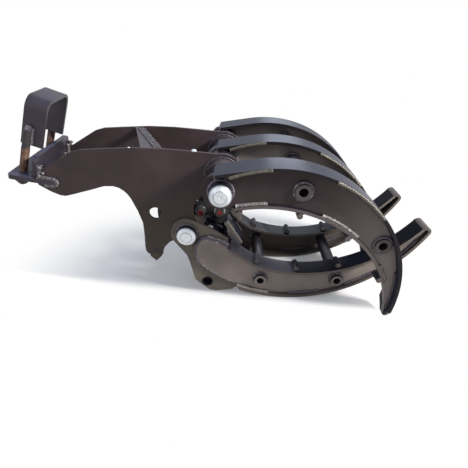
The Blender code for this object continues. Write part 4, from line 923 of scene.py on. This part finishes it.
def zinc_plate(name, centre, tint=ZINC, grooves=()):
    g = Graph(bpy.data.materials.new(name))
    ring = g.from_axis(centre)
    lathe = (ring * LATHE_RINGS).sine()
    cloud = g.noise(size=0.012, detail=4.0, rough=0.6)
    spots = g.noise(size=0.003, detail=3.0, rough=0.6).step(0.60, 0.72)
    tone = g.mix(cloud.step(0.35, 0.7), shade(tint, 0.86), tint)
    tone = g.mix(spots * 0.4, tone, SPOTTED_ZINC)
    rubbed_edge = g.edges(radius=0.0010).step(0.05, 0.4)
    tone = g.mix(rubbed_edge * 0.5, tone, RUBBED_ZINC)
    for radius in grooves:
        in_groove = 1.0 - abs(ring - radius).step(0.0004, 0.0014)
        tone = g.mix(in_groove * 0.75, tone, DARK_GROOVE)
    return g.finish(Base_Color=tone, Metallic=0.75, Roughness=(0.34 + cloud * 0.22 + spots * 0.15).clamp(),
                    Normal=g.bump(lathe * 0.4 + cloud, distance=0.00008, strength=0.6,
                                  normal=g.rounded(0.0006)))


pin_zinc = zinc_plate("zinc_pins", centre_xz("upper_pivot_pin"), grooves=PIN_GROOVES)
# Painted light: the lower pins are brighter zinc.
low_zinc = zinc_plate("zinc_lower_pins", centre_xz("lower_pivot_pin_right"), PAINTED_LIGHT_ZINC, PIN_GROOVES)
right_port_zinc = zinc_plate("zinc_port", centre_xz("ram_port_adapter_right"))
# Painted shade: the left port adapter is dark.
left_port_zinc = zinc_plate("zinc_port_left", centre_xz("ram_port_adapter_left"), PAINTED_SHADE_ZINC)
ram_pin_zinc = zinc_plate("zinc_ram_pins", centre_xz("ram_base_pin"))
paint_nodes(pin_zinc, ["upper_pivot_pin"])
paint_nodes(low_zinc, named("lower_pivot_pin_"))
paint_nodes(clamp_paint, named("clamp_nut_") + named("clamp_taper_washer_"))
paint_nodes(right_port_zinc, ["ram_port_adapter_right"])
paint_nodes(left_port_zinc, ["ram_port_adapter_left"])
paint_nodes(ram_pin_zinc, ["ram_base_pin", "ram_clevis_pin"])


# Plugs in the top edge of the near side plate: two low domed heads of zinc-plated steel, pressed into
# holes in the edge. Their profile is in shares of the head's width.
PLUG_PROFILE = [(0.50, 0.0), (0.50, 0.16), (0.44, 0.27), (0.33, 0.36), (0.20, 0.41), (0.09, 0.44)]
PLUG_SIDES = 12
PLUG_NARROWED = 0.6
PLUG_Y = -0.106


def edge_plug(name, spot, width):
    verts = []
    for radius, height in PLUG_PROFILE:
        for i in range(PLUG_SIDES):
            turn = math.tau * i / PLUG_SIDES
            verts.append((spot[0] + radius * width * math.cos(turn),
                          PLUG_Y + radius * width * PLUG_NARROWED * math.sin(turn),
                          spot[1] + height * width))
    faces = [tuple(reversed(range(PLUG_SIDES)))]
    for row in range(len(PLUG_PROFILE) - 1):
        base = row * PLUG_SIDES
        for i in range(PLUG_SIDES):
            j = (i + 1) % PLUG_SIDES
            faces.append((base + i, base + j, base + PLUG_SIDES + j, base + PLUG_SIDES + i))
    faces.append(tuple(range(len(verts) - PLUG_SIDES, len(verts))))
    mesh = bpy.data.meshes.new(name)
    mesh.from_pydata(verts, [], faces)
    mesh.materials.append(pin_zinc)
    add_piece(name, mesh, "frame")


edge_plug("edge_plug_pivot", (-0.0760, 0.4405), 0.0140)
edge_plug("edge_plug_plate", (-0.2407, 0.4495), 0.0070)


# Ram, valve and port plugs. The ram is bought in, in smooth gloss black over a chromed rod. A lock
# valve sits on its near side, and its two ports are closed with red plastic plugs.
PLUG_RED_TO = 0.0066
FLANGE_GREY_FROM = 0.0074


def gloss_black():
    g = Graph(bpy.data.materials.new("gloss_black"))
    cloud = g.noise(size=0.03, detail=3.0)
    fine = g.noise(size=0.002, detail=3.0)
    tone = g.mix(cloud.step(0.3, 0.7), (0.012, 0.012, 0.014), (0.024, 0.023, 0.025))
    rubbed_edge = g.edges(radius=0.001).step(0.05, 0.4)
    tone = g.mix(rubbed_edge * 0.4, tone, (0.09, 0.09, 0.095))
    return g.finish(Base_Color=tone, Roughness=(0.24 + cloud * 0.12).clamp(),
                    Normal=g.bump(fine, distance=0.0001, strength=0.4, normal=g.rounded(0.0010)))


def chrome():
    g = Graph(bpy.data.materials.new("chrome"))
    lines = g.noise(size=0.004, detail=2.0, rough=0.5, where=g.place(scale=(6.0, 6.0, 0.4)))
    return g.finish(Base_Color=g.mix(lines, (0.70, 0.71, 0.73), (0.82, 0.82, 0.83)), Metallic=1.0,
                    Roughness=(0.08 + lines * 0.08).clamp(),
                    Normal=g.bump(lines, distance=0.00004, strength=0.3))


def red_plastic(name, centre):
    """Red cap seen inside the grey flange of its port; the flange is dulled with oil and dust."""
    g = Graph(bpy.data.materials.new(name))
    cloud = g.noise(size=0.008, detail=2.0)
    red = g.mix(cloud, (0.30, 0.010, 0.020), (0.42, 0.020, 0.030))
    grey = g.mix(cloud, (0.030, 0.026, 0.026), (0.090, 0.080, 0.080))
    outside = g.from_axis(centre).step(PLUG_RED_TO, FLANGE_GREY_FROM)
    fine = g.noise(size=0.0012, detail=2.0)
    return g.finish(Base_Color=g.mix(outside, red, grey), Roughness=(0.34 + cloud * 0.14).clamp(),
                    Normal=g.bump(fine, distance=0.0001, strength=0.4, normal=g.rounded(0.0006)))


paint_nodes(gloss_black(), ["ram_barrel", "ram_gland", "ram_rod_clevis", "ram_valve_block"])
paint_nodes(chrome(), ["ram_rod"])
for side in ("right", "left"):
    plug = "ram_port_plug_" + side
    paint_nodes(red_plastic("red_plug_" + side, centre_xz(plug)), [plug])


# Floor and sky of the studio: a plain pale floor under a soft sky, both white to the camera. The
# floor's own shading, with the grapple's shadow, shows near the grapple and fades to white further
# out and toward the lens, along a border that leans with X as the photo's shadow does.
FLOOR_HALF = 9
FLOOR_DROP = 0.0005
FADE_AWAY = (0.28, 0.78)
FADE_TO_LENS = (0.105, 0.150)
BORDER_LEAN = 0.16
LEAST_WHITE = 0.15
WHITE = (1.0, 1.0, 1.0, 1.0)


def by_ray(g, mirrored_share):
    """1 for what the camera sees, a share for what metal and glass mirror, 0 for light on the part."""
    def ray(kind):
        return g.add("ShaderNodeLightPath", {}, {}, kind)
    mirrored = ray("Is Glossy Ray") + ray("Is Transmission Ray")
    return (ray("Is Camera Ray") + mirrored * mirrored_share).clamp()


def floor_finish():
    g = Graph(bpy.data.materials.new("studio_floor"))
    away = g.vector("LENGTH", g.place(scale=(1.0, 1.25, 1.0)), out="Value")
    toward_lens = 0.0 - g.along("Y") - g.along("X") * BORDER_LEAN
    fade = (away.step(*FADE_AWAY) + toward_lens.step(*FADE_TO_LENS)).clamp()
    shown = by_ray(g, mirrored_share=0.5)
    whiteness = shown * (fade * (1.0 - LEAST_WHITE) + LEAST_WHITE)
    material = g.finish(Base_Color=g.mix(shown, (0.30, 0.26, 0.23), (0.70, 0.70, 0.70)), Roughness=0.9)
    shaded = Value(g, g.nodes["Principled BSDF"].outputs[0])
    glow = g.add("ShaderNodeEmission", {}, {"Color": WHITE})
    blend = g.add("ShaderNodeMixShader", {}, {0: whiteness, 1: shaded, 2: glow})
    g.links.new(blend.socket, g.nodes["Material Output"].inputs[0])
    return material


floor_mesh = bpy.data.meshes.new("floor")
floor_mesh.from_pydata([(-FLOOR_HALF, -FLOOR_HALF, 0), (FLOOR_HALF, -FLOOR_HALF, 0),
                        (FLOOR_HALF, FLOOR_HALF, 0), (-FLOOR_HALF, FLOOR_HALF, 0)], [], [(0, 1, 2, 3)])
floor_mesh.materials.append(floor_finish())
floor = bpy.data.objects.new("floor", floor_mesh)
floor.location.z = -FLOOR_DROP
bpy.context.scene.collection.objects.link(floor)

world = bpy.data.worlds.new("sky")
bpy.context.scene.world = world
sky = Graph(world)
upward = sky.add("ShaderNodeSeparateXYZ", {}, {0: sky.add("ShaderNodeTexCoord", {}, {}, "Generated")}, "Z")
sky_colour = sky.add("ShaderNodeValToRGB",
                     {"stops": [(0.46, (0.42, 0.38, 0.36)), (0.62, (0.84, 0.88, 1.0))]},
                     {0: upward * 0.5 + 0.5})
backdrop = sky.add("ShaderNodeBackground", {}, {"Color": sky_colour, "Strength": 0.55})
white = sky.add("ShaderNodeBackground", {}, {"Color": WHITE})
white_share = by_ray(sky, mirrored_share=0.35)
chosen = sky.add("ShaderNodeMixShader", {}, {0: white_share, 1: backdrop, 2: white})
sky.links.new(chosen.socket, sky.nodes["World Output"].inputs[0])


# Lamps, all soft rectangles. The key is warm and stands to the right and in front; the fill, a cool
# one over the clamp end and a cool one behind lift the faces that the key leaves dark.
def soft_lamp(name, place, width, height, power, colour, target=(0.0, 0.0, 0.2)):
    """A lamp of some width and height in metres and power in watts, turned toward its target."""
    data = bpy.data.lights.new(name, "AREA")
    data.shape = "RECTANGLE"
    data.size = width
    data.size_y = height
    data.energy = power
    data.color = colour
    lamp = bpy.data.objects.new(name, data)
    lamp.location = place
    lamp.rotation_euler = (Vector(place) - Vector(target)).to_track_quat("Z", "Y").to_euler()
    bpy.context.scene.collection.objects.link(lamp)


soft_lamp("key", (2.45, -0.92, 1.80), width=0.50, height=0.50, power=165.0, colour=(1.0, 0.97, 0.94))
soft_lamp("fill", (-1.8, -1.6, 1.6), width=1.4, height=1.4, power=9.0, colour=(0.95, 0.96, 1.0))
soft_lamp("cool", (-1.80, -0.20, 2.10), width=0.70, height=0.70, power=9.0, colour=(0.50, 0.62, 1.0),
          target=(-0.5, 0.0, 0.5))
soft_lamp("back", (0.58, 2.20, 1.30), width=0.70, height=0.80, power=5.0, colour=(0.78, 0.87, 1.0))
